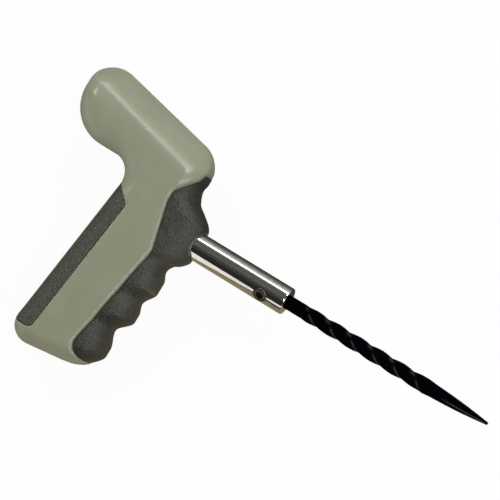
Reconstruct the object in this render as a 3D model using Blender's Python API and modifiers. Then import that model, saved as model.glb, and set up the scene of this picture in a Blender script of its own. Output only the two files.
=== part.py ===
"""Tire rasp with a pistol-grip handle, lying on its right side.

The shank's axis runs along +X, the palm head points along +Y and the left side faces +Z.
The origin lies on the flat right side, straight below the shank's axis.
"""

import math

import bmesh
import bpy
from mathutils import Matrix, Vector

# Clearances
TOUCH_GAP = 0.0003
SLIDE_GAP = 0.0002

# Handle thickness and edges
HALF_THICKNESS = 0.0150
EDGE_RADIUS = 0.0090
EDGE_SHARE_OF_CORNER = 0.95

# Palm head: a sloping top, a rear lobe and a nose
HEAD_SLOPE = math.radians(12.5)
HEAD_TOP_Y = 0.0406
LOBE_REAR_X = -0.0556
LOBE_UNDER_Y = 0.0163
LOBE_TOP_RADIUS = 0.0112
LOBE_UNDER_RADIUS = 0.0193
NOSE_FRONT_X = 0.0129
NOSE_RADIUS = 0.0120
NECK_RADIUS = 0.0092

# Slope in both sides of the head, from a soft shoulder up to the top edge
SHOULDER_BELOW_TOP = 0.0121
SHOULDER_BLEND = 0.0015
SHOULDER_FALL = 0.88
TOP_WALL_SHARE = 0.55

# Grip, whose back leans away from the shank
GRIP_LEAN = math.radians(7.1)
GRIP_BACK_X = -0.0196
GRIP_BOTTOM_Y = -0.0732
GRIP_FRONT_X = 0.01455
BOTTOM_BACK_RADIUS = 0.0090
BOTTOM_FRONT_RADIUS = 0.0172

# Rubber front grip: walls, rounding and the boss round the holder
RUBBER_WALL = 0.0035
RUBBER_SINK = 0.0007
RUBBER_FRONT_DEPTH = 0.0120
RUBBER_CORNER_POWER = 2.5
RUBBER_TOP_ABOVE_AXIS = 0.0330
RUBBER_END_ABOVE_BOTTOM = 0.0047
RUBBER_SPARE = 0.0025
GROOVE_PINCH = 0.0007
BOSS_FRONT_X = 0.0251
BOSS_HALF_HEIGHT = 0.0070
BOSS_FRONT_DEPTH = 0.0190

# Flanks of the boss in the side view: (distance from its flat front's end, set back from its front)
BOSS_UPPER_FLANK = [(0.0096, 0.0100), (0.0061, 0.0055), (0.0026, 0.0014)]
BOSS_LOWER_FLANK = [(0.0044, 0.0032), (0.0061, 0.0059)]

# Finger rests: the index groove above the boss (y, x), and three grooves with a bump below each.
# Their heights count in thirds of the length that they share, their fronts are real places.
INDEX_GROOVE = (0.0228, 0.0124)
FINGERS_TOP_BELOW_BOSS = 0.0096
FINGER_GROOVES = [(0.00, 0.0176), (1.02, 0.0158), (1.96, 0.0116)]
FINGER_BUMPS = [(0.31, 0.61, 0.0193), (1.32, 1.53, 0.0171), (2.44, 2.65, 0.0140)]

# Side line where the rubber front grip meets the olive panel
PANEL_NECK_X = 0.0054
PANEL_NECK_TOP_Y = 0.0155
PANEL_NECK_LOW_Y = 0.0105
PANEL_BELLY = (0.0110, -0.0115)
PANEL_FOOT_X = 0.0008
PANEL_CORNER_RADIUS = 0.0060
PANEL_NECK_RADIUS = 0.0040
PANEL_UNDER_NOSE_Y = 0.0250
PANEL_NOSE_LEAN = 0.0005

# Rubber back strip
STRIP_WALL = 0.0026
STRIP_WIDTH = 0.0103
STRIP_TOP_Y = -0.0005
STRIP_SLANT = 0.0100
STRIP_END_RADIUS = 0.0030

# Core of the handle, under both rubbers
CORE_SINK = 0.0042
CORE_EDGE_RADIUS = 0.0060
CORE_CORNER_RADIUS = 0.0065
CORE_TOP_Y = 0.0245
CORE_SHOULDER_Y = 0.0170
CORE_FOOT_LAP = 0.0012
CORE_BOSS_SET_BACK = 0.0055
CORE_BOSS_WALL = 0.0022

# Hollows of the shells
SHELL_WALL = 0.0040
HOLLOW_EDGE_RADIUS = 0.0030

# Shank holder
HOLDER_RADIUS = 0.00635
HOLDER_END_X = 0.0720
HOLDER_TAIL_X = 0.0000
HOLDER_CHAMFER = 0.0007
SOCKET_DEPTH = 0.0280

# Anchor pin through the holder's tail
PIN_RADIUS = 0.0020
PIN_END_WALL = 0.0015
PIN_FROM_TAIL = 0.0070

# Set screw
SET_SCREW_RADIUS = 0.003175
SET_SCREW_FROM_END = 0.0113
SET_SCREW_TURN = math.radians(36.7)
SET_SCREW_STANDS_PROUD = 0.0004
SET_SCREW_KEY = 0.0032
SET_SCREW_KEY_DEPTH = 0.0022
SET_SCREW_CHAMFER = 0.0005

# Rasp, with its lengths counted from the holder's end
SHANK_RADIUS = 0.003175
SHANK_FLAT_DEPTH = 0.000425
SHANK_FLAT_MARGIN = 0.0015
SHANK_CHAMFER = 0.0005
SHANK_BARE_LENGTH = 0.0080
RISE_LENGTH = 0.0038
GROOVED_LENGTH = 0.0634
GROOVE_LEAD = 0.01095
GROOVE_LAG = 0.0008
GROOVE_SKEW = 0.0012
GROOVE_BOW = 0.0009
GROOVE_FADE = 0.0050
RIDGE_RADIUS = 0.00355
GROOVE_RADIUS = 0.00275
TIP_FACETS = 4
TIP_FACETS_TURN = math.radians(-25)
FACET_LENGTH = 0.0080
TAPER_LENGTH = 0.0333
TAPER_LAP = 0.0019
TIP_SHARE = 0.20
TAPER_POWER = 1.9

# Screws that close the shells, driven from the right side
SCREW_HEAD_RADIUS = 0.0028
SCREW_HEAD_HEIGHT = 0.0020
SCREW_SHANK_RADIUS = 0.0015
SCREW_SEAT_DEPTH = 0.0070
SCREW_END_WALL = 0.0060
SCREW_RECESS_LENGTH = 0.0034
SCREW_RECESS_WIDTH = 0.0009
SCREW_RECESS_DEPTH = 0.0012
POST_WALL = 0.0016
LOBE_SCREW_INSET = 0.0165
NOSE_SCREW_INSET = 0.0155
NOSE_SCREW_DROP = 0.0025
MIDDLE_SCREW_Y = -0.0280
BOTTOM_SCREW_ABOVE_BOTTOM = 0.0140
GRIP_SCREW_FROM_BACK = 0.0185

# Fineness of the curved faces
ARC_STEP = math.radians(15)
EDGE_STEPS = 2
ROUND_SIDES = 32
SMALL_ROUND_SIDES = 20
FRONT_LEVEL_STEP = 0.0020
FRONT_ARC_STEPS = 10
RING_POINTS = 24
GROOVE_RING_STEP = 0.0007
SHOULDER_STEPS = 9
TAPER_RINGS = 8

# Room for cutters that run past the handle
FAR_FRONT_X = 0.0500
FAR_BACK_X = -0.0500
FAR_HALF = 0.0300
FAR_SIZE = 0.3000
CUT_SPARE = 0.0030

OLIVE = (0.245, 0.250, 0.175)
DARK_RUBBER = (0.050, 0.050, 0.042)
CHROME = (0.60, 0.60, 0.58)
BLACK_STEEL = (0.012, 0.012, 0.013)
DARK_STEEL = (0.05, 0.05, 0.045)
BARE_STEEL = (0.35, 0.35, 0.35)


def clear_scene():
    for obj in list(bpy.data.objects):
        bpy.data.objects.remove(obj, do_unlink=True)


def new_collection(name):
    collection = bpy.data.collections.new(name)
    bpy.context.scene.collection.children.link(collection)
    return collection


def material(name, colour, roughness, metallic):
    made = bpy.data.materials.new(name)
    made.use_nodes = True
    shader = made.node_tree.nodes["Principled BSDF"]
    shader.inputs["Base Color"].default_value = (*colour, 1.0)
    shader.inputs["Roughness"].default_value = roughness
    shader.inputs["Metallic"].default_value = metallic
    return made


clear_scene()
PARTS = new_collection("tire_rasp")
CUTTERS = new_collection("cutters")

parting_plane = bpy.data.objects.new("parting_plane", None)
parting_plane.location = (0.0, 0.0, HALF_THICKNESS)
PARTS.objects.link(parting_plane)


def place(obj, finish=None):
    """A part goes with the parts, and a shape with no finish goes with the cutters."""
    if finish is None:
        CUTTERS.objects.link(obj)
        obj.hide_render = True
        obj.display_type = "WIRE"
    else:
        PARTS.objects.link(obj)
        obj.data.materials.append(finish)
    obj.parent = parting_plane
    return obj


def object_from_bmesh(name, shape, finish=None):
    mesh = bpy.data.meshes.new(name)
    bmesh.ops.recalc_face_normals(shape, faces=shape.faces[:])
    shape.to_mesh(mesh)
    shape.free()
    mesh.shade_smooth()
    mesh.set_sharp_from_angle(angle=math.radians(35))
    return place(bpy.data.objects.new(name, mesh), finish)


def combine(obj, other, operation):
    step = obj.modifiers.new(operation.lower() + "_" + other.name, "BOOLEAN")
    step.operation = operation
    step.solver = "EXACT"
    step.object = other


def cut(obj, *cutters):
    for cutter in cutters:
        combine(obj, cutter, "DIFFERENCE")


def meeting(point, direction, other_point, other_direction):
    """Where two lines of the side view cross."""
    across = direction.x * other_direction.y - direction.y * other_direction.x
    between = other_point - point
    along = (between.x * other_direction.y - between.y * other_direction.x) / across
    return point + along * direction


def grown_corners(corners, grow):
    """The corners (x, y, radius) of a counter-clockwise outline whose sides move out by grow."""
    moved = []
    count = len(corners)
    for i, (x, y, radius) in enumerate(corners):
        here = Vector((x, y))
        before = (here - Vector(corners[i - 1][:2])).normalized()
        after = (Vector(corners[(i + 1) % count][:2]) - here).normalized()
        turn = before.x * after.y - before.y * after.x
        point = meeting(
            here + grow * Vector((before.y, -before.x)), before,
            here + grow * Vector((after.y, -after.x)), after,
        )
        moved.append((point.x, point.y, max(radius + math.copysign(grow, turn * grow), 0.0)))
    return moved


def fitted_corners(corners):
    """The corners with each radius small enough for its two sides, and the half angle at each."""
    count = len(corners)
    points = [Vector(corner[:2]) for corner in corners]
    half_angles = []
    reaches = []
    for i, (x, y, radius) in enumerate(corners):
        half_angle = (points[i - 1] - points[i]).angle(points[(i + 1) % count] - points[i]) / 2
        half_angles.append(half_angle)
        reaches.append(radius / math.tan(half_angle))
    fitted = []
    for i, (x, y, radius) in enumerate(corners):
        share = 1.0
        for other in (i - 1, (i + 1) % count):
            side = (points[other] - points[i]).length
            if reaches[i] + reaches[other] > side:
                share = min(share, side / (reaches[i] + reaches[other]))
        fitted.append((x, y, radius * share, half_angles[i]))
    return fitted


def rounded_outline(corners):
    """Points round an outline of corners (x, y, radius), with an arc at each corner."""
    points = []
    count = len(corners)
    for i, (x, y, radius, half_angle) in enumerate(fitted_corners(corners)):
        here = Vector((x, y))
        back = (Vector(corners[i - 1][:2]) - here).normalized()
        ahead = (Vector(corners[(i + 1) % count][:2]) - here).normalized()
        if radius == 0.0:
            points.append(here)
            continue
        centre = here + (back + ahead).normalized() * radius / math.sin(half_angle)
        start = here + back * radius / math.tan(half_angle) - centre
        sweep = math.pi - 2 * half_angle
        if back.x * ahead.y - back.y * ahead.x > 0:
            sweep = -sweep
        steps = max(2, math.ceil(abs(sweep) / ARC_STEP))
        for step in range(steps + 1):
            arm = start.copy()
            arm.rotate(Matrix.Rotation(sweep * step / steps, 2))
            points.append(centre + arm)
    return points


def slab(name, corners, half_thickness, edge_radius=0.0, finish=None):
    """A flat piece with this side-view outline and edges rounded less than its corners."""
    curve = bpy.data.curves.new(name, "CURVE")
    curve.dimensions = "2D"
    curve.fill_mode = "BOTH"
    if edge_radius:
        smallest = min(corner[2] for corner in fitted_corners(corners))
        rounding = min(edge_radius, half_thickness, EDGE_SHARE_OF_CORNER * smallest)
        curve.bevel_depth = rounding
        curve.bevel_resolution = EDGE_STEPS
        curve.offset = -rounding
        curve.extrude = half_thickness - rounding
    else:
        curve.extrude = half_thickness
    points = rounded_outline(corners)
    spline = curve.splines.new("POLY")
    spline.points.add(len(points) - 1)
    spline.use_cyclic_u = True
    for spline_point, point in zip(spline.points, points):
        spline_point.co = (point.x, point.y, 0.0, 1.0)
    guide = bpy.data.objects.new(name + "_outline", curve)
    bpy.context.scene.collection.objects.link(guide)
    mesh = bpy.data.meshes.new_from_object(guide.evaluated_get(bpy.context.evaluated_depsgraph_get()))
    bpy.data.objects.remove(guide)
    shape = bmesh.new()
    shape.from_mesh(mesh)
    bpy.data.meshes.remove(mesh)
    bmesh.ops.remove_doubles(shape, verts=shape.verts[:], dist=1e-6)
    return object_from_bmesh(name, shape, finish)


def turned(name, profile, sides, finish=None):
    """A profile of (radius, height) points, from the top down its outer side, turned about Z."""
    mesh = bpy.data.meshes.new(name)
    edges = [(i, i + 1) for i in range(len(profile) - 1)]
    mesh.from_pydata([(radius, 0.0, height) for radius, height in profile], edges, [])
    obj = place(bpy.data.objects.new(name, mesh), finish)
    turn = obj.modifiers.new("turn", "SCREW")
    turn.steps = sides
    turn.render_steps = sides
    turn.use_merge_vertices = True
    turn.merge_threshold = 1e-6
    return obj


def rod(name, radius, low, high, sides, finish=None):
    return turned(name, [(0.0, high), (radius, high), (radius, low), (0.0, low)], sides, finish)


def along_x(obj):
    """Turns a piece built about Z so that its top points along +X."""
    obj.rotation_euler = (0.0, math.pi / 2, 0.0)
    return obj


def handle_lines():
    """Corners of the whole handle's side view, counter-clockwise from the nose."""
    upright = Vector((0.0, 1.0))
    level = Vector((1.0, 0.0))
    top_point = Vector((0.0, HEAD_TOP_Y))
    top_way = Vector((math.cos(HEAD_SLOPE), -math.sin(HEAD_SLOPE)))
    back_point = Vector((GRIP_BACK_X, 0.0))
    back_way = Vector((math.sin(GRIP_LEAN), math.cos(GRIP_LEAN)))
    bottom_point = Vector((0.0, GRIP_BOTTOM_Y))
    bottom_way = Vector((math.cos(GRIP_LEAN), math.sin(GRIP_LEAN)))
    nose = meeting(top_point, top_way, Vector((NOSE_FRONT_X, 0.0)), upright)
    top_rear = meeting(top_point, top_way, Vector((LOBE_REAR_X, 0.0)), upright)
    neck = meeting(back_point, back_way, Vector((0.0, LOBE_UNDER_Y)), level)
    back_foot = meeting(back_point, back_way, bottom_point, bottom_way)
    front_foot = meeting(bottom_point, bottom_way, Vector((GRIP_FRONT_X, 0.0)), upright)
    return [
        (nose.x, nose.y, NOSE_RADIUS),
        (top_rear.x, top_rear.y, LOBE_TOP_RADIUS),
        (LOBE_REAR_X, LOBE_UNDER_Y, LOBE_UNDER_RADIUS),
        (neck.x, neck.y, NECK_RADIUS),
        (back_foot.x, back_foot.y, BOTTOM_BACK_RADIUS),
        (front_foot.x, front_foot.y, BOTTOM_FRONT_RADIUS),
    ]


def top_at(x):
    """Height of the head's top line at this place."""
    return HEAD_TOP_Y - x * math.tan(HEAD_SLOPE)


def back_x(y, inside=0.0):
    """The grip's back line at this height, moved in by a wall."""
    return GRIP_BACK_X + y * math.tan(GRIP_LEAN) + inside / math.cos(GRIP_LEAN)


def rubber_end_y():
    return GRIP_BOTTOM_Y + RUBBER_END_ABOVE_BOTTOM


def foot_front_x(y):
    """Front of the grip's rounded foot at this height."""
    corner_y = GRIP_BOTTOM_Y + GRIP_FRONT_X * math.tan(GRIP_LEAN)
    arc_reach = math.tan((math.pi / 2 - GRIP_LEAN) / 2)
    centre_y = corner_y + BOTTOM_FRONT_RADIUS * arc_reach
    rise = min(max(centre_y - y, 0.0), BOTTOM_FRONT_RADIUS)
    return GRIP_FRONT_X - BOTTOM_FRONT_RADIUS + math.sqrt(BOTTOM_FRONT_RADIUS ** 2 - rise ** 2)


def nose_height():
    """Where the nose reaches furthest forward."""
    corner_y = top_at(NOSE_FRONT_X)
    return corner_y - NOSE_RADIUS * math.tan((math.pi / 2 - HEAD_SLOPE) / 2)


def finger_y(thirds):
    """Height of a place counted in thirds of the length that the lower fingers share."""
    top = -BOSS_HALF_HEIGHT - FINGERS_TOP_BELOW_BOSS
    return top + (rubber_end_y() - top) * thirds / 3


def front_stations():
    """The rubber's front from top to bottom: (y, x, half thickness, depth of the rounding)."""
    full = HALF_THICKNESS - RUBBER_SINK
    flank_depth = (RUBBER_FRONT_DEPTH + BOSS_FRONT_DEPTH) / 2
    groove = (full - GROOVE_PINCH, RUBBER_FRONT_DEPTH)
    bump = (full, RUBBER_FRONT_DEPTH)
    stations = [(y, NOSE_FRONT_X, full, EDGE_RADIUS) for y in (RUBBER_TOP_ABOVE_AXIS, nose_height())]
    stations.append((*INDEX_GROOVE, *groove))
    for rise, set_back in BOSS_UPPER_FLANK:
        stations.append((BOSS_HALF_HEIGHT + rise, BOSS_FRONT_X - set_back, full, flank_depth))
    for y in (BOSS_HALF_HEIGHT, -BOSS_HALF_HEIGHT):
        stations.append((y, BOSS_FRONT_X, full, BOSS_FRONT_DEPTH))
    for drop, set_back in BOSS_LOWER_FLANK:
        stations.append((-BOSS_HALF_HEIGHT - drop, BOSS_FRONT_X - set_back, full, flank_depth))
    for (groove_at, groove_x), (bump_top, bump_end, bump_x) in zip(FINGER_GROOVES, FINGER_BUMPS):
        stations.append((finger_y(groove_at), groove_x, *groove))
        stations += [(finger_y(place), bump_x, *bump) for place in (bump_top, bump_end)]
    for y in (rubber_end_y(), rubber_end_y() - RUBBER_SPARE):
        stations.append((y, foot_front_x(y), *bump))
    return stations


def eased(stations, y):
    """Values at this height on curves that run through the stations and turn back only at them."""
    steps = [upper[0] - lower[0] for upper, lower in zip(stations, stations[1:])]
    place = 0
    while place < len(steps) - 1 and y < stations[place + 1][0]:
        place += 1
    share = min(max((stations[place][0] - y) / steps[place], 0.0), 1.0)
    values = []
    for k in range(1, len(stations[0])):
        rates = [(lower[k] - upper[k]) / step for upper, lower, step in zip(stations, stations[1:], steps)]
        slopes = [0.0]
        for before, after in zip(rates, rates[1:]):
            slopes.append(2 * before * after / (before + after) if before * after > 0 else 0.0)
        slopes.append(rates[-1])
        start, end = stations[place][k], stations[place + 1][k]
        rise = steps[place]
        values.append(
            start * (1 + 2 * share) * (1 - share) ** 2
            + slopes[place] * rise * share * (1 - share) ** 2
            + end * share ** 2 * (3 - 2 * share)
            - slopes[place + 1] * rise * share ** 2 * (1 - share)
        )
    return values


def bridged(name, rings, finish=None):
    """A closed form through level rings of points, capped at both ends."""
    shape = bmesh.new()
    loops = []
    for ring in rings:
        verts = [shape.verts.new(point) for point in ring]
        loops.append([shape.edges.new((a, b)) for a, b in zip(verts, verts[1:] + verts[:1])])
    for first, second in zip(loops, loops[1:]):
        bmesh.ops.bridge_loops(shape, edges=first + second)
    bmesh.ops.contextual_create(shape, geom=loops[0])
    bmesh.ops.contextual_create(shape, geom=loops[-1])
    return object_from_bmesh(name, shape, finish)


def front_grip_form(finish):
    """The rubber's outer form: level rings with a rounded front."""
    stations = front_stations()
    top, bottom = stations[0][0], stations[-1][0]
    levels = math.ceil((top - bottom) / FRONT_LEVEL_STEP)
    rear_x = back_x(0.0, STRIP_WALL)
    power = 2 / RUBBER_CORNER_POWER
    rings = []
    for level in range(levels + 1):
        y = top + (bottom - top) * level / levels
        front, half, depth = eased(stations, y)
        ring = [(rear_x, y, -half)]
        for step in range(FRONT_ARC_STEPS + 1):
            angle = math.pi * (step / FRONT_ARC_STEPS - 0.5)
            x = front - depth + depth * abs(math.cos(angle)) ** power
            z = half * math.copysign(abs(math.sin(angle)) ** power, angle)
            ring.append((x, y, z))
        ring.append((rear_x, y, half))
        rings.append(ring)
    return bridged("front_finger_grip", rings, finish)


def front_region():
    """Outline of the recess that the front grip fills."""
    return [
        (FAR_FRONT_X, RUBBER_TOP_ABOVE_AXIS, 0.0),
        (NOSE_FRONT_X + PANEL_NOSE_LEAN, RUBBER_TOP_ABOVE_AXIS, 0.0),
        (NOSE_FRONT_X - PANEL_NOSE_LEAN, PANEL_UNDER_NOSE_Y, PANEL_NECK_RADIUS),
        (PANEL_NECK_X, PANEL_NECK_TOP_Y, PANEL_NECK_RADIUS),
        (PANEL_NECK_X, PANEL_NECK_LOW_Y, PANEL_CORNER_RADIUS),
        (*PANEL_BELLY, PANEL_CORNER_RADIUS),
        (PANEL_FOOT_X, rubber_end_y(), PANEL_CORNER_RADIUS),
        (FAR_FRONT_X, rubber_end_y(), 0.0),
    ]


def back_region():
    """Outline of the strip's recess: a slanted top, an edge that follows the back, a round end."""
    slant_y = STRIP_TOP_Y + STRIP_SLANT
    end_y = rubber_end_y()
    return [
        (back_x(STRIP_TOP_Y, STRIP_WIDTH), STRIP_TOP_Y, STRIP_END_RADIUS),
        (back_x(slant_y) - STRIP_WALL, slant_y, 0.0),
        (FAR_BACK_X, slant_y, 0.0),
        (FAR_BACK_X, end_y, 0.0),
        (back_x(end_y, STRIP_WIDTH), end_y, STRIP_END_RADIUS),
    ]


def core_half():
    return HALF_THICKNESS - CORE_SINK


def core_corners():
    """Outline of the stiff core under the rubbers."""
    bottom = rubber_end_y() - CORE_FOOT_LAP
    neck_x = INDEX_GROOVE[1] - RUBBER_WALL
    boss_x = BOSS_FRONT_X - CORE_BOSS_SET_BACK
    boss_half = HOLDER_RADIUS + CORE_BOSS_WALL
    upper_finger, lower_finger = FINGER_GROOVES[0], FINGER_GROOVES[-1]
    front_foot = lower_finger[1] - RUBBER_WALL
    corners = [
        (neck_x, CORE_TOP_Y),
        (back_x(CORE_TOP_Y, STRIP_WALL), CORE_TOP_Y),
        (back_x(bottom, STRIP_WALL), bottom),
        (front_foot, bottom),
        (front_foot, finger_y(lower_finger[0])),
        (upper_finger[1] - RUBBER_WALL, finger_y(upper_finger[0])),
        (boss_x, -boss_half),
        (boss_x, boss_half),
        (neck_x, CORE_SHOULDER_Y),
    ]
    return [(x, y, CORE_CORNER_RADIUS) for x, y in corners]


def screw_places():
    """Side-view places of the screws, by name."""
    lobe_x = LOBE_REAR_X + LOBE_SCREW_INSET
    nose_x = NOSE_FRONT_X - NOSE_SCREW_INSET
    bottom_y = GRIP_BOTTOM_Y + BOTTOM_SCREW_ABOVE_BOTTOM
    return {
        "shell_screw_lobe": (lobe_x, (LOBE_UNDER_Y + top_at(lobe_x)) / 2),
        "shell_screw_nose": (nose_x, (LOBE_UNDER_Y + top_at(nose_x)) / 2 - NOSE_SCREW_DROP),
        "shell_screw_middle": (back_x(MIDDLE_SCREW_Y, GRIP_SCREW_FROM_BACK), MIDDLE_SCREW_Y),
        "shell_screw_bottom": (back_x(bottom_y, GRIP_SCREW_FROM_BACK), bottom_y),
    }


def shoulder_height(below_top):
    """Height of the head's side over the parting plane, this far below the top edge."""
    bend = math.log1p(math.exp((SHOULDER_BELOW_TOP - below_top) / SHOULDER_BLEND))
    level = HALF_THICKNESS - SHOULDER_FALL * SHOULDER_BLEND * bend
    wall = TOP_WALL_SHARE * level
    rounding = min(max(1 - below_top / EDGE_RADIUS, 0.0), 1.0)
    return wall + (level - wall) * math.sqrt(1 - rounding ** 2)


def shoulder_cutters(name, sink=0.0):
    """What lies over the head's two slopes, sunk towards the parting plane by this much."""
    end = SHOULDER_BELOW_TOP + 4 * SHOULDER_BLEND
    places = [end * (step / SHOULDER_STEPS) ** 1.5 for step in range(SHOULDER_STEPS + 1)]
    profile = [(below, shoulder_height(below) - sink) for below in places]
    profile.insert(0, (-CUT_SPARE, profile[0][1]))
    roof = HALF_THICKNESS + CUT_SPARE
    profile += [(end + CUT_SPARE, roof), (-CUT_SPARE, roof)]
    way = Vector((math.cos(HEAD_SLOPE), -math.sin(HEAD_SLOPE)))
    down = Vector((-math.sin(HEAD_SLOPE), -math.cos(HEAD_SLOPE)))
    cutters = []
    for side, sign in (("left", 1), ("right", -1)):
        rings = []
        for along in (2 * FAR_BACK_X, FAR_FRONT_X):
            start = Vector((0.0, HEAD_TOP_Y)) + along * way
            rings.append([(*(start + below * down), sign * height) for below, height in profile])
        cutters.append(bridged(name + "_" + side, rings))
    return cutters


def make_hollows(lines):
    """The spaces inside the head and the grip, with the screw posts left standing in them."""
    top_rear, rear_under = lines[1:3]
    front_wall = NOSE_FRONT_X - NOSE_SCREW_INSET + SCREW_HEAD_RADIUS + POST_WALL + SHELL_WALL
    head_lines = grown_corners(
        [
            (front_wall, top_at(front_wall), 2 * SHELL_WALL),
            top_rear,
            rear_under,
            (front_wall, LOBE_UNDER_Y, 2 * SHELL_WALL),
        ],
        -SHELL_WALL,
    )
    roof = -HOLDER_RADIUS - SHELL_WALL
    low_back, low_front = grown_corners(core_corners(), -SHELL_WALL)[2:4]
    grip_lines = [
        (low_front[0], roof, SHELL_WALL),
        (back_x(roof, STRIP_WALL + SHELL_WALL), roof, SHELL_WALL),
        (low_back[0], low_back[1], SHELL_WALL),
        (low_front[0], low_front[1], SHELL_WALL),
    ]
    sloped_wall = SHELL_WALL * math.hypot(1.0, SHOULDER_FALL)
    head = slab("head_hollow", head_lines, HALF_THICKNESS - sloped_wall, HOLLOW_EDGE_RADIUS)
    cut(head, *shoulder_cutters("hollow_slope", sloped_wall))
    grip = slab("grip_hollow", grip_lines, core_half() - SHELL_WALL, HOLLOW_EDGE_RADIUS)
    post_radius = SCREW_HEAD_RADIUS + TOUCH_GAP + POST_WALL
    for name, (x, y) in screw_places().items():
        post = rod(name + "_post", post_radius, -FAR_HALF, FAR_HALF, SMALL_ROUND_SIDES)
        post.location = (x, y, 0.0)
        cut(head if y > 0 else grip, post)
    return head, grip


def half_space(name, low, high, finish):
    shape = bmesh.new()
    bmesh.ops.create_cube(shape, size=1.0)
    bmesh.ops.scale(shape, verts=shape.verts, vec=(FAR_SIZE, FAR_SIZE, high - low))
    bmesh.ops.translate(shape, verts=shape.verts, vec=(0.0, 0.0, (high + low) / 2))
    return object_from_bmesh(name, shape, finish)


def pin_x():
    return HOLDER_TAIL_X + PIN_FROM_TAIL


def pin_half_length():
    return core_half() - PIN_END_WALL


def make_handle():
    olive = material("olive_plastic", OLIVE, 0.42, 0.0)
    rubber = material("dark_rubber", DARK_RUBBER, 0.62, 0.0)
    steel = material("bare_steel", BARE_STEEL, 0.35, 1.0)
    lines = handle_lines()
    core_lines = core_corners()

    form = slab("handle_form", lines, HALF_THICKNESS, EDGE_RADIUS)
    core = slab("core_form", core_lines, core_half(), CORE_EDGE_RADIUS)
    core_room = slab("core_room", grown_corners(core_lines, TOUCH_GAP), core_half() + TOUCH_GAP,
                     CORE_EDGE_RADIUS)
    holder_way = along_x(rod("holder_way", HOLDER_RADIUS + TOUCH_GAP, HOLDER_TAIL_X - TOUCH_GAP,
                             FAR_FRONT_X, ROUND_SIDES))
    pin_way = rod("pin_way", PIN_RADIUS + TOUCH_GAP, -pin_half_length() - TOUCH_GAP,
                  pin_half_length() + TOUCH_GAP, SMALL_ROUND_SIDES)
    pin_way.location.x = pin_x()

    cut(form, *shoulder_cutters("head_slope"))
    cut(form, slab("front_recess", front_region(), FAR_HALF), slab("back_recess", back_region(), FAR_HALF))
    combine(form, core, "UNION")
    cut(form, holder_way, pin_way, *make_hollows(lines))
    left_shell = half_space("left_handle_shell", TOUCH_GAP / 2, FAR_HALF, olive)
    right_shell = half_space("right_handle_shell", -FAR_HALF, -TOUCH_GAP / 2, olive)
    for shell in (left_shell, right_shell):
        combine(shell, form, "INTERSECT")

    front_grip = front_grip_form(rubber)
    combine(front_grip, slab("front_room", grown_corners(front_region(), -TOUCH_GAP), FAR_HALF), "INTERSECT")
    cut(front_grip, core_room, holder_way, *shoulder_cutters("grip_slope", RUBBER_SINK))

    strip = slab("back_grip_strip", lines, HALF_THICKNESS, EDGE_RADIUS, rubber)
    combine(strip, slab("strip_room", grown_corners(back_region(), -TOUCH_GAP), FAR_HALF), "INTERSECT")
    cut(strip, core_room)

    pin = rod("anchor_pin", PIN_RADIUS, -pin_half_length(), pin_half_length(), SMALL_ROUND_SIDES, steel)
    pin.location.x = pin_x()
    for name, place_xy in screw_places().items():
        make_shell_screw(name, place_xy, (left_shell, right_shell), steel)


def make_shell_screw(name, place_xy, shells, steel):
    """A screw driven from the right side, and its stepped hole through both shells."""
    seat = SCREW_SEAT_DEPTH - HALF_THICKNESS
    point = HALF_THICKNESS - SCREW_END_WALL
    head_top = seat - SCREW_HEAD_HEIGHT
    screw = turned(
        name,
        [
            (0.0, point),
            (SCREW_SHANK_RADIUS / 2, point),
            (SCREW_SHANK_RADIUS, point - SCREW_SHANK_RADIUS),
            (SCREW_SHANK_RADIUS, seat),
            (SCREW_HEAD_RADIUS, seat),
            (SCREW_HEAD_RADIUS, head_top + SCREW_HEAD_HEIGHT / 3),
            (SCREW_HEAD_RADIUS * 3 / 4, head_top),
            (0.0, head_top),
        ],
        SMALL_ROUND_SIDES,
        steel,
    )
    screw.location = (*place_xy, 0.0)
    recess = (SCREW_RECESS_LENGTH, SCREW_RECESS_WIDTH)
    for way, size in (("x", recess), ("y", recess[::-1])):
        arm = bmesh.new()
        bmesh.ops.create_cube(arm, size=1.0)
        bmesh.ops.scale(arm, verts=arm.verts, vec=(*size, 2 * SCREW_RECESS_DEPTH))
        slot = object_from_bmesh(name + "_recess_" + way, arm)
        slot.location = (*place_xy, head_top)
        cut(screw, slot)
    room = turned(
        name + "_room",
        [
            (0.0, point + TOUCH_GAP),
            (SCREW_SHANK_RADIUS + TOUCH_GAP, point + TOUCH_GAP),
            (SCREW_SHANK_RADIUS + TOUCH_GAP, seat + TOUCH_GAP),
            (SCREW_HEAD_RADIUS + TOUCH_GAP, seat + TOUCH_GAP),
            (SCREW_HEAD_RADIUS + TOUCH_GAP, -FAR_HALF),
            (0.0, -FAR_HALF),
        ],
        SMALL_ROUND_SIDES,
    )
    room.location = (*place_xy, 0.0)
    for shell in shells:
        cut(shell, room)


def make_holder():
    chrome = material("chrome", CHROME, 0.10, 1.0)
    floor = HOLDER_END_X - SOCKET_DEPTH
    socket = SHANK_RADIUS + SLIDE_GAP
    holder = turned(
        "shank_holder",
        [
            (0.0, floor),
            (socket, floor),
            (socket, HOLDER_END_X),
            (HOLDER_RADIUS - HOLDER_CHAMFER, HOLDER_END_X),
            (HOLDER_RADIUS, HOLDER_END_X - HOLDER_CHAMFER),
            (HOLDER_RADIUS, HOLDER_TAIL_X + HOLDER_CHAMFER),
            (HOLDER_RADIUS - HOLDER_CHAMFER, HOLDER_TAIL_X),
            (0.0, HOLDER_TAIL_X),
        ],
        ROUND_SIDES,
        chrome,
    )
    along_x(holder)
    pin_hole = rod("pin_hole", PIN_RADIUS + TOUCH_GAP, -FAR_HALF, FAR_HALF, SMALL_ROUND_SIDES)
    pin_hole.location.x = pin_x()
    screw_hole = rod("set_screw_hole", SET_SCREW_RADIUS + SLIDE_GAP, 0.0, FAR_HALF, ROUND_SIDES)
    stand_at_set_screw(screw_hole)
    cut(holder, pin_hole, screw_hole)


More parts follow.
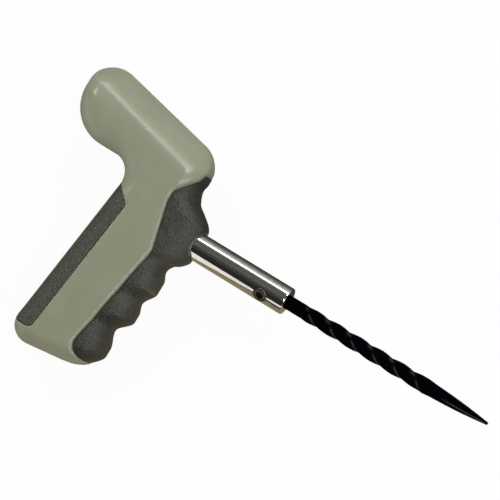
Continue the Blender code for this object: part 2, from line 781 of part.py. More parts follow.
def stand_at_set_screw(obj):
    """Stands a piece built about Z on the shank's axis, turned to the set screw's direction."""
    obj.location.x = HOLDER_END_X - SET_SCREW_FROM_END
    obj.rotation_euler.x = SET_SCREW_TURN


def make_set_screw():
    dark = material("dark_steel", DARK_STEEL, 0.35, 1.0)
    top = HOLDER_RADIUS + SET_SCREW_STANDS_PROUD
    tip = SHANK_RADIUS - SHANK_FLAT_DEPTH + TOUCH_GAP
    screw = turned(
        "set_screw",
        [
            (0.0, top),
            (SET_SCREW_RADIUS - SET_SCREW_CHAMFER, top),
            (SET_SCREW_RADIUS, top - SET_SCREW_CHAMFER),
            (SET_SCREW_RADIUS, tip + SET_SCREW_CHAMFER),
            (SET_SCREW_RADIUS - SET_SCREW_CHAMFER, tip),
            (0.0, tip),
        ],
        ROUND_SIDES,
        dark,
    )
    stand_at_set_screw(screw)
    key = rod("set_screw_key", SET_SCREW_KEY / math.sqrt(3), top - SET_SCREW_KEY_DEPTH, FAR_HALF, 6)
    stand_at_set_screw(key)
    cut(screw, key)


def clamped(value):
    return min(max(value, 0.0), 1.0)


def tip_start():
    """Where the groove has run out and the tip begins, from the holder's end."""
    return SHANK_BARE_LENGTH + GROOVED_LENGTH


def rasp_ring(x):
    """Points round the rasp at this distance from the holder's end, with its spiral groove."""
    rise = clamped((x - SHANK_BARE_LENGTH) / RISE_LENGTH)
    depth = (RIDGE_RADIUS - GROOVE_RADIUS) * clamped((tip_start() - x) / GROOVE_FADE)
    faceted = clamped((x - tip_start()) / FACET_LENGTH)
    half_facet = math.pi / TIP_FACETS
    taper = clamped((x - tip_start() + TAPER_LAP) / TAPER_LENGTH)
    scale = 1.0 - (1.0 - TIP_SHARE) * taper ** TAPER_POWER
    ring = []
    for i in range(RING_POINTS):
        way = 2 * math.pi * i / RING_POINTS
        along = x - SHANK_BARE_LENGTH - GROOVE_LAG + GROOVE_LEAD * (way / (2 * math.pi) - 0.25)
        along += GROOVE_SKEW * (math.sin(way) - 1) + GROOVE_BOW * math.cos(way)
        grooved = RIDGE_RADIUS - depth * (1 - abs(math.sin(math.pi * along / GROOVE_LEAD)))
        facet = RIDGE_RADIUS * math.cos(half_facet)
        facet /= math.cos((way - TIP_FACETS_TURN) % (2 * half_facet) - half_facet)
        ridged = grooved + (facet - grooved) * faceted
        reach = scale * (SHANK_RADIUS + (ridged - SHANK_RADIUS) * rise)
        ring.append((x, reach * math.sin(way), reach * math.cos(way)))
    return ring


def make_rasp():
    black = material("black_oxide", BLACK_STEEL, 0.45, 0.6)
    tail = TOUCH_GAP - SOCKET_DEPTH
    chamfer_share = (SHANK_RADIUS - SHANK_CHAMFER) / SHANK_RADIUS
    groove_rings = math.ceil(GROOVED_LENGTH / GROOVE_RING_STEP)
    tip_length = TAPER_LENGTH - TAPER_LAP
    stations = [tail + SHANK_CHAMFER]
    stations += [SHANK_BARE_LENGTH + GROOVED_LENGTH * i / groove_rings for i in range(groove_rings + 1)]
    stations += [tip_start() + tip_length * (i + 1) / TAPER_RINGS for i in range(TAPER_RINGS)]
    rings = [[(x, y * chamfer_share, z * chamfer_share) for x, y, z in rasp_ring(tail)]]
    rings += [rasp_ring(x) for x in stations]
    rasp = bridged("rasp", rings, black)
    rasp.location.x = HOLDER_END_X

    flat_end = SET_SCREW_RADIUS + SHANK_FLAT_MARGIN - SET_SCREW_FROM_END
    flat = bmesh.new()
    bmesh.ops.create_cube(flat, size=1.0)
    bmesh.ops.scale(flat, verts=flat.verts, vec=(2 * SOCKET_DEPTH, 4 * SHANK_RADIUS, 2 * SHANK_RADIUS))
    bmesh.ops.translate(flat, verts=flat.verts,
                        vec=(flat_end - SOCKET_DEPTH, 0.0, 2 * SHANK_RADIUS - SHANK_FLAT_DEPTH))
    flat_cutter = object_from_bmesh("shank_flat", flat)
    flat_cutter.location.x = HOLDER_END_X
    flat_cutter.rotation_euler.x = SET_SCREW_TURN
    cut(rasp, flat_cutter)


make_handle()
make_holder()
make_set_screw()
make_rasp()
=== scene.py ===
"""Looks of the tire rasp: its finely modelled pieces, their finishes, and the studio."""

import math

import bmesh
import bpy
import numpy as np
from mathutils import Matrix, Vector
from mathutils.geometry import delaunay_2d_cdt


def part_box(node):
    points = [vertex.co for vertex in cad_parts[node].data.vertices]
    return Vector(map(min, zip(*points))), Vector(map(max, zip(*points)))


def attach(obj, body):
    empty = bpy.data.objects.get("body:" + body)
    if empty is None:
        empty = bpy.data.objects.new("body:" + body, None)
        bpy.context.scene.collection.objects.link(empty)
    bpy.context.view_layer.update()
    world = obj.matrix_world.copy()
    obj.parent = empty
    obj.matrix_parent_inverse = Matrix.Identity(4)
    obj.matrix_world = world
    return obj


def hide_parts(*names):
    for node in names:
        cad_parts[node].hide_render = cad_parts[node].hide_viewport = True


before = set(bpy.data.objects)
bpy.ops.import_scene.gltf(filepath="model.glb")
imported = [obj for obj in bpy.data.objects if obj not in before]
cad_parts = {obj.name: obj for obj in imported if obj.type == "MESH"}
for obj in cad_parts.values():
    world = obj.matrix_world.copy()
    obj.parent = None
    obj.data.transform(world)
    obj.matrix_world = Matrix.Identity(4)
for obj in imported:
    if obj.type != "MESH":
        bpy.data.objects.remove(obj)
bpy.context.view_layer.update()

# The handle's middle plane, and the gap that touching pieces keep
MID_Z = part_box("left_handle_shell")[1].z / 2
GAP = 0.0003
EDGE_SPARE = 0.00008

# Palm head
HEAD_SLOPE = math.radians(12.5)
HEAD_TOP_Y = 0.0406
LOBE_REAR_X = -0.0556
LOBE_UNDER_Y = 0.0163
LOBE_TOP_RADIUS = 0.0112
LOBE_UNDER_RADIUS = 0.0193
NOSE_FRONT_X = 0.0129
NOSE_RADIUS = 0.0120
NECK_RADIUS = 0.0092

# Grip
GRIP_LEAN = math.radians(7.1)
GRIP_BACK_X = -0.0196
GRIP_BOTTOM_Y = -0.0732
GRIP_FRONT_X = 0.01455
BOTTOM_BACK_RADIUS = 0.0090
BOTTOM_FRONT_RADIUS = 0.0172
RUBBER_ABOVE_BOTTOM = 0.0047
RUBBER_END_Y = GRIP_BOTTOM_Y + RUBBER_ABOVE_BOTTOM

# Swell of the olive sides: heights above the middle plane and how far in the rounding runs
CREST_HEIGHT = MID_Z
PANEL_HEIGHT = 0.0144
CREST_BELOW_TOP = 0.0150
CREST_WIDTH = 0.0065
EDGE_WALL = 0.0055
WALL_FROM_HEIGHT = 0.0017
WALL_SHARE = 0.55
EDGE_ROUNDING = 0.0090
FOOT_ROUNDING = 0.0065
FOOT_FROM_Y = -0.0580
FOOT_FULL_Y = -0.0680

# Slope that falls from the head's shoulder to its top edge, and how softly the shoulder turns
SHOULDER_AT_LOBE = 0.0114
SHOULDER_AT_NOSE = 0.0136
SHOULDER_BLEND = 0.0014
SHOULDER_LOBE_BLEND = 0.0032
LOBE_SHARE = 0.28
SHOULDER_DROP = 0.0107

# Stretch of the grip whose sides stay flat up to the rubber front grip
FLAT_FROM_Y = 0.0120
FLAT_ABOVE_RUBBER_END = 0.0030
FLAT_TO_Y = RUBBER_END_Y + FLAT_ABOVE_RUBBER_END
FLAT_EASE = 0.0100
FLAT_BEHIND = 0.0180
FLAT_CLEAR = 0.0120

# Edges of the olive panel
FRONT_LIP_WIDTH = 0.0015
FRONT_LIP_DROP = 0.0012
STRIP_LIP_WIDTH = 0.0004
STRIP_LIP_DROP = 0.0003

# How finely the olive sides are divided
OUTLINE_RING_DEGREES = range(8, 81, 8)
SEAM_RING_SHARES = (0.12, 0.35, 0.65, 1.0)
SEAM_RING_RUN = 0.0010
FIELD_STEP = 0.0011
FIELD_BELOW_GRIP = 0.0100
FIELD_ABOVE_HEAD = 0.0200
FIELD_INSIDE_SHARE = 0.8
OUTLINE_CLEAR = 2e-5
SEAM_CLEAR = 3e-5
POINTS_AT_ONCE = 2000

# Distances at which points of a mesh are taken as one
WELD = 2e-6
SPIN_WELD = 1e-6
FINE_WELD = 1e-7

# Line where the rubber front grip meets the panel: corners (x, y, radius)
FAR_X = 0.0500
FRONT_LINE = [
    (FAR_X, 0.0300, 0.0),
    (0.0127, 0.0300, 0.0),
    (0.0119, 0.0250, 0.0040),
    (0.0054, 0.0155, 0.0040),
    (0.0054, 0.0105, 0.0060),
    (0.0110, -0.0115, 0.0060),
    (0.0008, RUBBER_END_Y, 0.0060),
    (FAR_X, RUBBER_END_Y, 0.0),
]

# Rubber back strip
STRIP_WIDTH = 0.0103
STRIP_TOP_Y = -0.0005
STRIP_SLANT = 0.0100
STRIP_END_RADIUS = 0.0030
STRIP_OVERHANG = 0.0026
STRIP_RISE = 0.0077
STRIP_LEVELS = 110
STRIP_SINK = 0.00015
STRIP_GAP = 0.00012

# Rubber front grip: stations down its front (y, x, half thickness, depth of the rounding)
FRONT_SIDE_SINK = 0.0013
FRONT_TOP_Y = 0.0283
FRONT_LEVELS = 170
FRONT_FULLNESS = 2.5
FRONT_HALF = PANEL_HEIGHT - FRONT_SIDE_SINK
FINGER_PINCH = 0.0007
PINCHED_HALF = FRONT_HALF - FINGER_PINCH
FRONT_STATIONS = [
    (0.0330, 0.0134, 0.0120, 0.0090),
    (0.0285, 0.0134, 0.0120, 0.0090),
    (0.0255, 0.0134, 0.0123, 0.0095),
    (0.0228, 0.0129, PINCHED_HALF, 0.0110),
    (0.0166, 0.0151, FRONT_HALF, 0.0155),
    (0.0131, 0.0196, FRONT_HALF, 0.0155),
    (0.0096, 0.0237, FRONT_HALF, 0.0155),
    (0.0070, 0.0251, FRONT_HALF, 0.0190),
    (-0.0070, 0.0251, FRONT_HALF, 0.0190),
    (-0.0114, 0.0219, FRONT_HALF, 0.0155),
    (-0.0131, 0.0192, FRONT_HALF, 0.0155),
    (-0.0166, 0.0176, PINCHED_HALF, 0.0120),
    (-0.0219, 0.0193, FRONT_HALF, 0.0120),
    (-0.0271, 0.0193, FRONT_HALF, 0.0120),
    (-0.0342, 0.0158, PINCHED_HALF, 0.0120),
    (-0.0393, 0.0171, FRONT_HALF, 0.0120),
    (-0.0430, 0.0171, FRONT_HALF, 0.0120),
    (-0.0504, 0.0116, PINCHED_HALF, 0.0120),
    (-0.0587, 0.0140, FRONT_HALF, 0.0120),
    (-0.0622, 0.0140, FRONT_HALF, 0.0120),
    (-0.0683, 0.0096, FRONT_HALF - 0.0010, 0.0120),
    (-0.0703, 0.0071, FRONT_HALF - 0.0020, 0.0120),
]

# Both rubber pieces: steps across a side, and the small step down at the seam
RUBBER_STEPS = 26
SEAM_STEP_SHARE = 0.012
SEAM_STEP_DROP = 0.0004
RUBBER_LEAST_WIDTH = 0.0002
LEVEL_SPARE = 1e-6

# Holder and pin
HOLDER_RADIUS = 0.00635
HOLDER_END_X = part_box("shank_holder")[1].x
HOLDER_CHAMFER = 0.0007
HOLDER_CHAMFER_BEND = 0.3
HOLDER_SIDES = 128
SOCKET_RADIUS = 0.003375
SOCKET_CHAMFER = 0.00012
SOCKET_DEPTH = 0.0280
PIN_X = 0.0070
PIN_RADIUS = 0.0020
CUTTER_REACH = 0.0200

# Set screw: heights are measured from the shank's axis, its outer edge as (depth, distance in from its side)
SET_SCREW_FROM_END = 0.0113
SET_SCREW_X = HOLDER_END_X - SET_SCREW_FROM_END
SET_SCREW_TURN = math.radians(36.7)
SET_SCREW_RADIUS = 0.003175
SET_SCREW_BORE_GAP = 0.0002
SET_SCREW_PROUD = 0.0003
SET_SCREW_TOP = HOLDER_RADIUS + SET_SCREW_PROUD
SET_SCREW_EDGE = [(0.0, 0.0007), (0.0001, 0.0004), (0.0005, 0.0)]
SET_SCREW_TIP = 0.00305
SET_SCREW_TIP_CHAMFER = 0.0005
SET_SCREW_KEY = 0.0032
SET_SCREW_KEY_DEPTH = 0.0021
SET_SCREW_SIDES = 64

# Rasp: lengths are measured from the holder's end
SHANK_RADIUS = 0.003175
SHANK_BARE_LENGTH = 0.0080
TAIL_CHAMFER = 0.0005
TAIL_END_SHARE = 0.84
SOCKET_STEP = 0.0010
SEAT_FLAT_DEPTH = 0.000425
SEAT_FLAT_END = -0.00662
RISE_LENGTH = 0.0038
GROOVED_LENGTH = 0.0634
TIP_START = SHANK_BARE_LENGTH + GROOVED_LENGTH
GROOVE_LEAD = 0.01095
GROOVE_LAG = 0.0008
GROOVE_SKEW = 0.0012
GROOVE_BOW = 0.0009
GROOVE_FADE = 0.0050
RIDGE_RADIUS = 0.00355
GROOVE_RADIUS = 0.00275
TIP_FACETS = 4
TIP_FACETS_TURN = math.radians(-25)
FACET_LENGTH = 0.0080
TAPER_LENGTH = 0.0333
TAPER_LAP = 0.0019
TIP_SHARE = 0.20
TAPER_POWER = 1.9
TOOTH_PITCH = 0.0010
TOOTH_DEPTH = 0.00022
TOOTH_FADE_BEFORE = 0.0040
TOOTH_FADE_PAST = 0.0100
RASP_SIDES = 64
TOOTH_STEPS = 6
TIP_STEPS = 30
TIP_FIRST_STEP = 0.0004

# Lighter places on the rasp: painted highlights along its grooves, on the sides given as sines only, and worn
# bare edges on its tip that also stand in for their highlight; widths as shares of a turn
LOW_LINE_WIDTH = 0.045
LOW_LINE_SIDES = (0.2, -0.4)
HIGH_PATCH_WIDTH = 0.09
HIGH_PATCH_SIDES = (0.3, 0.7)
HIGH_PATCH_SHARE = 0.6
TIP_WEAR_WIDTH = 0.05

# Holes for the shell screws, driven from the right side
SCREW_HEAD_RADIUS = 0.0028
SCREW_SEAT_DEPTH = 0.0070
SCREW_HOLE_RADIUS = 0.0018
SCREW_HOLE_START = 0.0010
SCREW_HOLE_SIDES = 32


# Outlines

def arc_points(corners, step=math.radians(4), run=0.0012):
    """Points round an outline of corners (x, y, radius): arcs at the corners, even steps on the runs."""
    loop = []
    count = len(corners)
    for i, (x, y, radius) in enumerate(corners):
        here = Vector((x, y))
        back = (Vector(corners[i - 1][:2]) - here).normalized()
        ahead = (Vector(corners[(i + 1) % count][:2]) - here).normalized()
        if radius == 0.0:
            loop.append([here])
            continue
        half_angle = back.angle(ahead) / 2
        centre = here + (back + ahead).normalized() * radius / math.sin(half_angle)
        start = here + back * radius / math.tan(half_angle) - centre
        sweep = math.pi - 2 * half_angle
        if back.x * ahead.y - back.y * ahead.x > 0:
            sweep = -sweep
        steps = max(2, math.ceil(abs(sweep) / step))
        arc = []
        for k in range(steps + 1):
            arm = start.copy()
            arm.rotate(Matrix.Rotation(sweep * k / steps, 2))
            arc.append(centre + arm)
        loop.append(arc)
    points = []
    for arc, following in zip(loop, loop[1:] + loop[:1]):
        points += arc
        gap = following[0] - arc[-1]
        runs = max(1, round(gap.length / run))
        points += [arc[-1] + gap * k / runs for k in range(1, runs)]
    return np.array([tuple(point) for point in points])


def meeting(point, way, other_point, other_way):
    across = way.x * other_way.y - way.y * other_way.x
    between = other_point - point
    return point + way * (between.x * other_way.y - between.y * other_way.x) / across


def back_x(y, inside=0.0):
    return GRIP_BACK_X + y * math.tan(GRIP_LEAN) + inside / math.cos(GRIP_LEAN)


def handle_corners():
    upright = Vector((0.0, 1.0))
    top = Vector((0.0, HEAD_TOP_Y)), Vector((math.cos(HEAD_SLOPE), -math.sin(HEAD_SLOPE)))
    back = Vector((GRIP_BACK_X, 0.0)), Vector((math.sin(GRIP_LEAN), math.cos(GRIP_LEAN)))
    bottom = Vector((0.0, GRIP_BOTTOM_Y)), Vector((math.cos(GRIP_LEAN), math.sin(GRIP_LEAN)))
    nose = meeting(*top, Vector((NOSE_FRONT_X, 0.0)), upright)
    top_rear = meeting(*top, Vector((LOBE_REAR_X, 0.0)), upright)
    neck = meeting(*back, Vector((0.0, LOBE_UNDER_Y)), Vector((1.0, 0.0)))
    back_foot = meeting(*back, *bottom)
    front_foot = meeting(*bottom, Vector((GRIP_FRONT_X, 0.0)), upright)
    return [
        (*nose, NOSE_RADIUS),
        (*top_rear, LOBE_TOP_RADIUS),
        (LOBE_REAR_X, LOBE_UNDER_Y, LOBE_UNDER_RADIUS),
        (*neck, NECK_RADIUS),
        (*back_foot, BOTTOM_BACK_RADIUS),
        (*front_foot, BOTTOM_FRONT_RADIUS),
    ]


def strip_corners():
    slant_y = STRIP_TOP_Y + STRIP_SLANT
    return [
        (back_x(STRIP_TOP_Y, STRIP_WIDTH), STRIP_TOP_Y, STRIP_END_RADIUS),
        (back_x(slant_y) - STRIP_OVERHANG, slant_y, 0.0),
        (-FAR_X, slant_y, 0.0),
        (-FAR_X, RUBBER_END_Y, 0.0),
        (back_x(RUBBER_END_Y, STRIP_WIDTH), RUBBER_END_Y, STRIP_END_RADIUS),
    ]


def grown(corners, amount):
    """The corners of a counter-clockwise outline whose sides move out by this amount."""
    moved = []
    count = len(corners)
    for i, (x, y, radius) in enumerate(corners):
        here = Vector((x, y))
        before = (here - Vector(corners[i - 1][:2])).normalized()
        after = (Vector(corners[(i + 1) % count][:2]) - here).normalized()
        turn = before.x * after.y - before.y * after.x
        point = meeting(
            here + amount * Vector((before.y, -before.x)), before,
            here + amount * Vector((after.y, -after.x)), after,
        )
        reach = radius + math.copysign(1.0, turn) * amount if radius else 0.0
        moved.append((point.x, point.y, max(reach, 0.0)))
    return moved


OUTLINE = arc_points(grown(handle_corners(), -EDGE_SPARE))
FRONT_REGION = arc_points(FRONT_LINE)
STRIP_REGION = arc_points(strip_corners())


def edge_distance(points, loop):
    """Distance from each point to a closed outline."""
    starts = loop
    ways = np.roll(loop, -1, axis=0) - loop
    lengths = np.maximum((ways ** 2).sum(1), 1e-18)
    nearest = np.empty(len(points))
    for first in range(0, len(points), POINTS_AT_ONCE):
        block = points[first:first + POINTS_AT_ONCE]
        arms = block[:, None, :] - starts[None]
        share = np.clip((arms * ways[None]).sum(2) / lengths[None], 0.0, 1.0)
        misses = arms - share[..., None] * ways[None]
        nearest[first:first + POINTS_AT_ONCE] = np.sqrt((misses ** 2).sum(2).min(1))
    return nearest


def inside(points, loop):
    """Whether each point lies inside a closed outline."""
    found = np.zeros(len(points), bool)
    for (ax, ay), (bx, by) in zip(loop, np.roll(loop, -1, axis=0)):
        if ay == by:
            continue
        spans = (points[:, 1] < max(ay, by)) & (points[:, 1] >= min(ay, by))
        cross = ax + (points[:, 1] - ay) * (bx - ax) / (by - ay)
        found ^= spans & (points[:, 0] < cross)
    return found


def eased(low, high, value):
    share = np.clip((value - low) / (high - low), 0.0, 1.0)
    return share * share * (3 - 2 * share)


def rounded_outline():
    """The outline that the olive sides round off to: beside the rubber its front lies further out."""
    x, y = OUTLINE.T
    beside = eased(FLAT_FROM_Y, FLAT_FROM_Y - FLAT_EASE, y) * eased(FLAT_TO_Y, FLAT_TO_Y + FLAT_EASE, y)
    front = x > back_x(y, FLAT_BEHIND)
    return OUTLINE + np.stack([np.where(front, FLAT_CLEAR * beside, 0.0), np.zeros(len(x))], axis=1)


ROUNDED_OUTLINE = rounded_outline()


def side_height(points):
    """Height of the handle's outer side above the middle plane, before seams are cut."""
    x, y = points[:, 0], points[:, 1]
    edge = edge_distance(points, ROUNDED_OUTLINE)
    foot = eased(FOOT_FROM_Y, FOOT_FULL_Y, y)
    rounding = EDGE_ROUNDING + (FOOT_ROUNDING - EDGE_ROUNDING) * foot
    below_top = (HEAD_TOP_Y - x * math.tan(HEAD_SLOPE) - y) * math.cos(HEAD_SLOPE)
    crest = np.exp(-((below_top - CREST_BELOW_TOP) / CREST_WIDTH) ** 2)
    crest = np.where(below_top < CREST_BELOW_TOP, 1.0, crest)
    along_head = np.clip((x - LOBE_REAR_X) / (NOSE_FRONT_X - LOBE_REAR_X), 0.0, 1.0)
    shoulder = SHOULDER_AT_LOBE + (SHOULDER_AT_NOSE - SHOULDER_AT_LOBE) * along_head
    blend = SHOULDER_BLEND + (SHOULDER_LOBE_BLEND - SHOULDER_BLEND) * eased(LOBE_SHARE, 0.0, along_head)
    fall = SHOULDER_DROP / shoulder * blend * np.logaddexp(0.0, (shoulder - below_top) / blend)
    level = PANEL_HEIGHT + (CREST_HEIGHT - PANEL_HEIGHT) * crest - fall
    wall = np.clip(WALL_SHARE * (level - WALL_FROM_HEIGHT), 0.0, EDGE_WALL)
    share = 1.0 - np.clip(edge / rounding, 0.0, 1.0)
    return wall + (level - wall) * np.sqrt(1.0 - share ** 2)


def lip_drop(points, loop, width, drop):
    """How far a rounded edge beside this seam falls away."""
    share = 1.0 - np.clip(edge_distance(points, loop) / width, 0.0, 1.0)
    return drop * (1.0 - np.sqrt(1.0 - share ** 2))


# Pieces

def finished(name, shape, body, finish, slot, *nodes, sharp):
    mesh = bpy.data.meshes.new(name)
    shape.to_mesh(mesh)
    shape.free()
    return finished_mesh(name, mesh, body, finish, slot, *nodes, sharp=sharp)


def finished_mesh(name, mesh, body, finish, slot, *nodes, sharp):
    """Puts a piece on its body with its finish, in place of the nodes that it refines."""
    mesh.shade_smooth()
    mesh.set_sharp_from_angle(angle=math.radians(sharp))
    mesh.materials.clear()
    mesh.materials.append(finish)
    obj = bpy.data.objects.new(name, mesh)
    bpy.context.scene.collection.objects.link(obj)
    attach(obj, body)
    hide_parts(*nodes)
    return obj


def cut_mesh(name, shape, cutters):
    """The mesh left when cutters are taken from a closed shape."""
    mesh = bpy.data.meshes.new(name)
    shape.to_mesh(mesh)
    shape.free()
    obj = bpy.data.objects.new(name + "_uncut", mesh)
    bpy.context.scene.collection.objects.link(obj)
    tools = []
    for i, cutter in enumerate(cutters):
        tool_mesh = bpy.data.meshes.new(f"{name}_cutter_{i}")
        cutter.to_mesh(tool_mesh)
        cutter.free()
        tool = bpy.data.objects.new(tool_mesh.name, tool_mesh)
        bpy.context.scene.collection.objects.link(tool)
        step = obj.modifiers.new(tool.name, "BOOLEAN")
        step.operation = "DIFFERENCE"
        step.solver = "EXACT"
        step.object = tool
        tools.append(tool)
    bpy.context.view_layer.update()
    result = bpy.data.meshes.new_from_object(obj.evaluated_get(bpy.context.evaluated_depsgraph_get()))
    for spare in [obj, *tools]:
        spare_mesh = spare.data
        bpy.data.objects.remove(spare)
        bpy.data.meshes.remove(spare_mesh)
    result.name = name
    return result


def rod(radius, start, end, sides=64):
    """A closed cylinder between two points."""
    shape = bmesh.new()
    start, end = Vector(start), Vector(end)
    bmesh.ops.create_cone(shape, cap_ends=True, segments=sides, radius1=radius, radius2=radius,
                          depth=(end - start).length)
    turn = Vector((0.0, 0.0, 1.0)).rotation_difference(end - start).to_matrix().to_4x4()
    bmesh.ops.transform(shape, matrix=Matrix.Translation((start + end) / 2) @ turn, verts=shape.verts)
    return shape


def spun(profile, steps):
    """A closed body from a profile of (distance along X, radius), turned about the shank's axis."""
    shape = bmesh.new()
    axis = Vector((0.0, 0.0, MID_Z))
    verts = [shape.verts.new((x, 0.0, MID_Z + radius)) for x, radius in profile]
    edges = [shape.edges.new(pair) for pair in zip(verts, verts[1:])]
    bmesh.ops.spin(shape, geom=verts + edges, cent=axis, axis=(1.0, 0.0, 0.0), angle=2 * math.pi,
                   steps=steps, use_merge=True)
    bmesh.ops.remove_doubles(shape, verts=shape.verts[:], dist=SPIN_WELD)
    bmesh.ops.recalc_face_normals(shape, faces=shape.faces[:])
    return shape


def bridged(rings):
    """A closed body through rings of points, capped at both ends."""
    shape = bmesh.new()
    loops = []
    for ring in rings:
        verts = [shape.verts.new(point) for point in ring]
        loops.append([shape.edges.new(pair) for pair in zip(verts, verts[1:] + verts[:1])])
    for first, second in zip(loops, loops[1:]):
        bmesh.ops.bridge_loops(shape, edges=first + second)
    bmesh.ops.contextual_create(shape, geom=loops[0])
    bmesh.ops.contextual_create(shape, geom=loops[-1])
    bmesh.ops.recalc_face_normals(shape, faces=shape.faces[:])
    return shape


# Olive shells

def olive_points():
    """Points of the olive side view: rings inside the outline, rings beside the seams, an even field."""
    found = [inset_ring(1 - math.cos(math.radians(turn))) for turn in OUTLINE_RING_DEGREES]
    for corners, width in ((FRONT_LINE, FRONT_LIP_WIDTH), (strip_corners(), STRIP_LIP_WIDTH)):
        for share in SEAM_RING_SHARES:
            found.append(arc_points(grown(corners, width * share), run=SEAM_RING_RUN))
    xs = np.arange(LOBE_REAR_X, FAR_X / 2, FIELD_STEP)
    ys = np.arange(GRIP_BOTTOM_Y - FIELD_BELOW_GRIP, HEAD_TOP_Y + FIELD_ABOVE_HEAD, FIELD_STEP)
    field = np.array([(x + (row % 2) * FIELD_STEP / 2, y) for row, y in enumerate(ys) for x in xs])
    deep = edge_distance(field, OUTLINE) > FIELD_INSIDE_SHARE * EDGE_ROUNDING
    found.append(field[inside(field, OUTLINE) & deep])
    return np.concatenate(found)


def inset_ring(share):
    """The outline moved in by this share of the local rounding."""
    before = np.roll(OUTLINE, 1, axis=0)
    after = np.roll(OUTLINE, -1, axis=0)
    way = after - before
    way /= np.linalg.norm(way, axis=1)[:, None]
    inward = np.stack([-way[:, 1], way[:, 0]], axis=1)
    return OUTLINE + inward * EDGE_ROUNDING * share


def olive_half(side):
    """One solid half of the olive handle, on the left (side 1) or the right (side -1)."""
    free = olive_points()
    keep = inside(free, OUTLINE) & (edge_distance(free, OUTLINE) > OUTLINE_CLEAR)
    for region in (FRONT_REGION, STRIP_REGION):
        keep &= ~inside(free, region) & (edge_distance(free, region) > SEAM_CLEAR)
    free = free[keep]
    loops = [OUTLINE, FRONT_REGION, STRIP_REGION]
    points = [Vector(point) for loop in loops for point in loop] + [Vector(point) for point in free]
    edges = []
    first = 0
    for loop in loops:
        count = len(loop)
        edges += [(first + i, first + (i + 1) % count) for i in range(count)]
        first += count
    verts, _, faces, _, _, _ = delaunay_2d_cdt(points, edges, [], 0, FINE_WELD)
    flat = np.array([tuple(vert) for vert in verts])
    middles = np.array([flat[list(face)].mean(0) for face in faces])
    wanted = inside(middles, OUTLINE) & ~inside(middles, FRONT_REGION) & ~inside(middles, STRIP_REGION)
    height = side_height(flat)
    height -= lip_drop(flat, FRONT_REGION, FRONT_LIP_WIDTH, FRONT_LIP_DROP)
    height -= lip_drop(flat, STRIP_REGION, STRIP_LIP_WIDTH, STRIP_LIP_DROP)
    height = np.maximum(height, GAP / 2)

    shape = bmesh.new()
    made = {}
    for face, use in zip(faces, wanted):
        if not use:
            continue
        for i in face:
            if i not in made:
                made[i] = shape.verts.new((*flat[i], MID_Z + height[i]))
        shape.faces.new([made[i] for i in face])
    rim = [edge for edge in shape.edges if edge.is_boundary]
    wall = bmesh.ops.extrude_edge_only(shape, edges=rim)["geom"]
    for part in wall:
        if isinstance(part, bmesh.types.BMVert):
            part.co.z = MID_Z + GAP / 2
    bmesh.ops.remove_doubles(shape, verts=shape.verts[:], dist=WELD)
    floor = [edge for edge in shape.edges if edge.is_boundary]
    bmesh.ops.contextual_create(shape, geom=floor)
    bmesh.ops.dissolve_degenerate(shape, edges=shape.edges[:], dist=FINE_WELD)
    if side < 0:
        mirrored = Matrix.Translation((0, 0, 2 * MID_Z)) @ Matrix.Diagonal((1, 1, -1, 1))
        bmesh.ops.transform(shape, matrix=mirrored, verts=shape.verts)
    bmesh.ops.recalc_face_normals(shape, faces=shape.faces[:])
    return shape


def screw_places():
    """Middle of each shell screw, from the model's own nodes."""
    names = [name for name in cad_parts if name.startswith("shell_screw_")]
    return {name: (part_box(name)[0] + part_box(name)[1]) / 2 for name in sorted(names)}


def holder_bore():
    return rod(HOLDER_RADIUS + GAP, (-GAP, 0, MID_Z), (FAR_X, 0, MID_Z))


def handle_bores():
    """The holder's way, the pin's way and the screws' stepped holes."""
    pin_low, pin_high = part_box("anchor_pin")
    bores = [
        holder_bore(),
        rod(PIN_RADIUS + GAP, (PIN_X, 0, pin_low.z - GAP), (PIN_X, 0, pin_high.z + GAP)),
    ]
    for name, middle in screw_places().items():
        place = (middle.x, middle.y)
        hole_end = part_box(name)[1].z + GAP
        bores.append(rod(SCREW_HEAD_RADIUS + GAP, (*place, -CUTTER_REACH / 2), (*place, SCREW_SEAT_DEPTH)))
        bores.append(rod(SCREW_HOLE_RADIUS, (*place, SCREW_HOLE_START), (*place, hole_end), SCREW_HOLE_SIDES))
    return bores


def make_shells(finish):
    for side, node in ((1, "left_handle_shell"), (-1, "right_handle_shell")):
        mesh = cut_mesh(node + "_moulded", olive_half(side), handle_bores())
        finished_mesh(node + "_moulded", mesh, "handle", finish, "olive_plastic", node, sharp=50)


# Rubber

def curve_values(stations, y):
    """Values at this height on curves that run through the stations and turn back only at them."""
    steps = [upper[0] - lower[0] for upper, lower in zip(stations, stations[1:])]
    place = 0
    while place < len(steps) - 1 and y < stations[place + 1][0]:
        place += 1
    share = min(max((stations[place][0] - y) / steps[place], 0.0), 1.0)
    values = []
    for k in range(1, len(stations[0])):
        rates = [(lower[k] - upper[k]) / step for upper, lower, step in zip(stations, stations[1:], steps)]
        slopes = [0.0]
        for before, after in zip(rates, rates[1:]):
            slopes.append(2 * before * after / (before + after) if before * after > 0 else 0.0)
        slopes.append(rates[-1])
        rise = steps[place]
        values.append(
            stations[place][k] * (1 + 2 * share) * (1 - share) ** 2
            + slopes[place] * rise * share * (1 - share) ** 2
            + stations[place + 1][k] * share ** 2 * (3 - 2 * share)
            - slopes[place + 1] * rise * share ** 2 * (1 - share)
        )
    return values


def seam_x(loop, y, furthest):
    """Where an outline crosses this height: the greatest or the least x of its crossings."""
    following = np.roll(loop, -1, axis=0)
    crossing = (loop[:, 1] - y) * (following[:, 1] - y) < 0
    a, b = loop[crossing], following[crossing]
    xs = a[:, 0] + (y - a[:, 1]) * (b[:, 0] - a[:, 0]) / (b[:, 1] - a[:, 1])
    return xs.max() if furthest else xs.min()


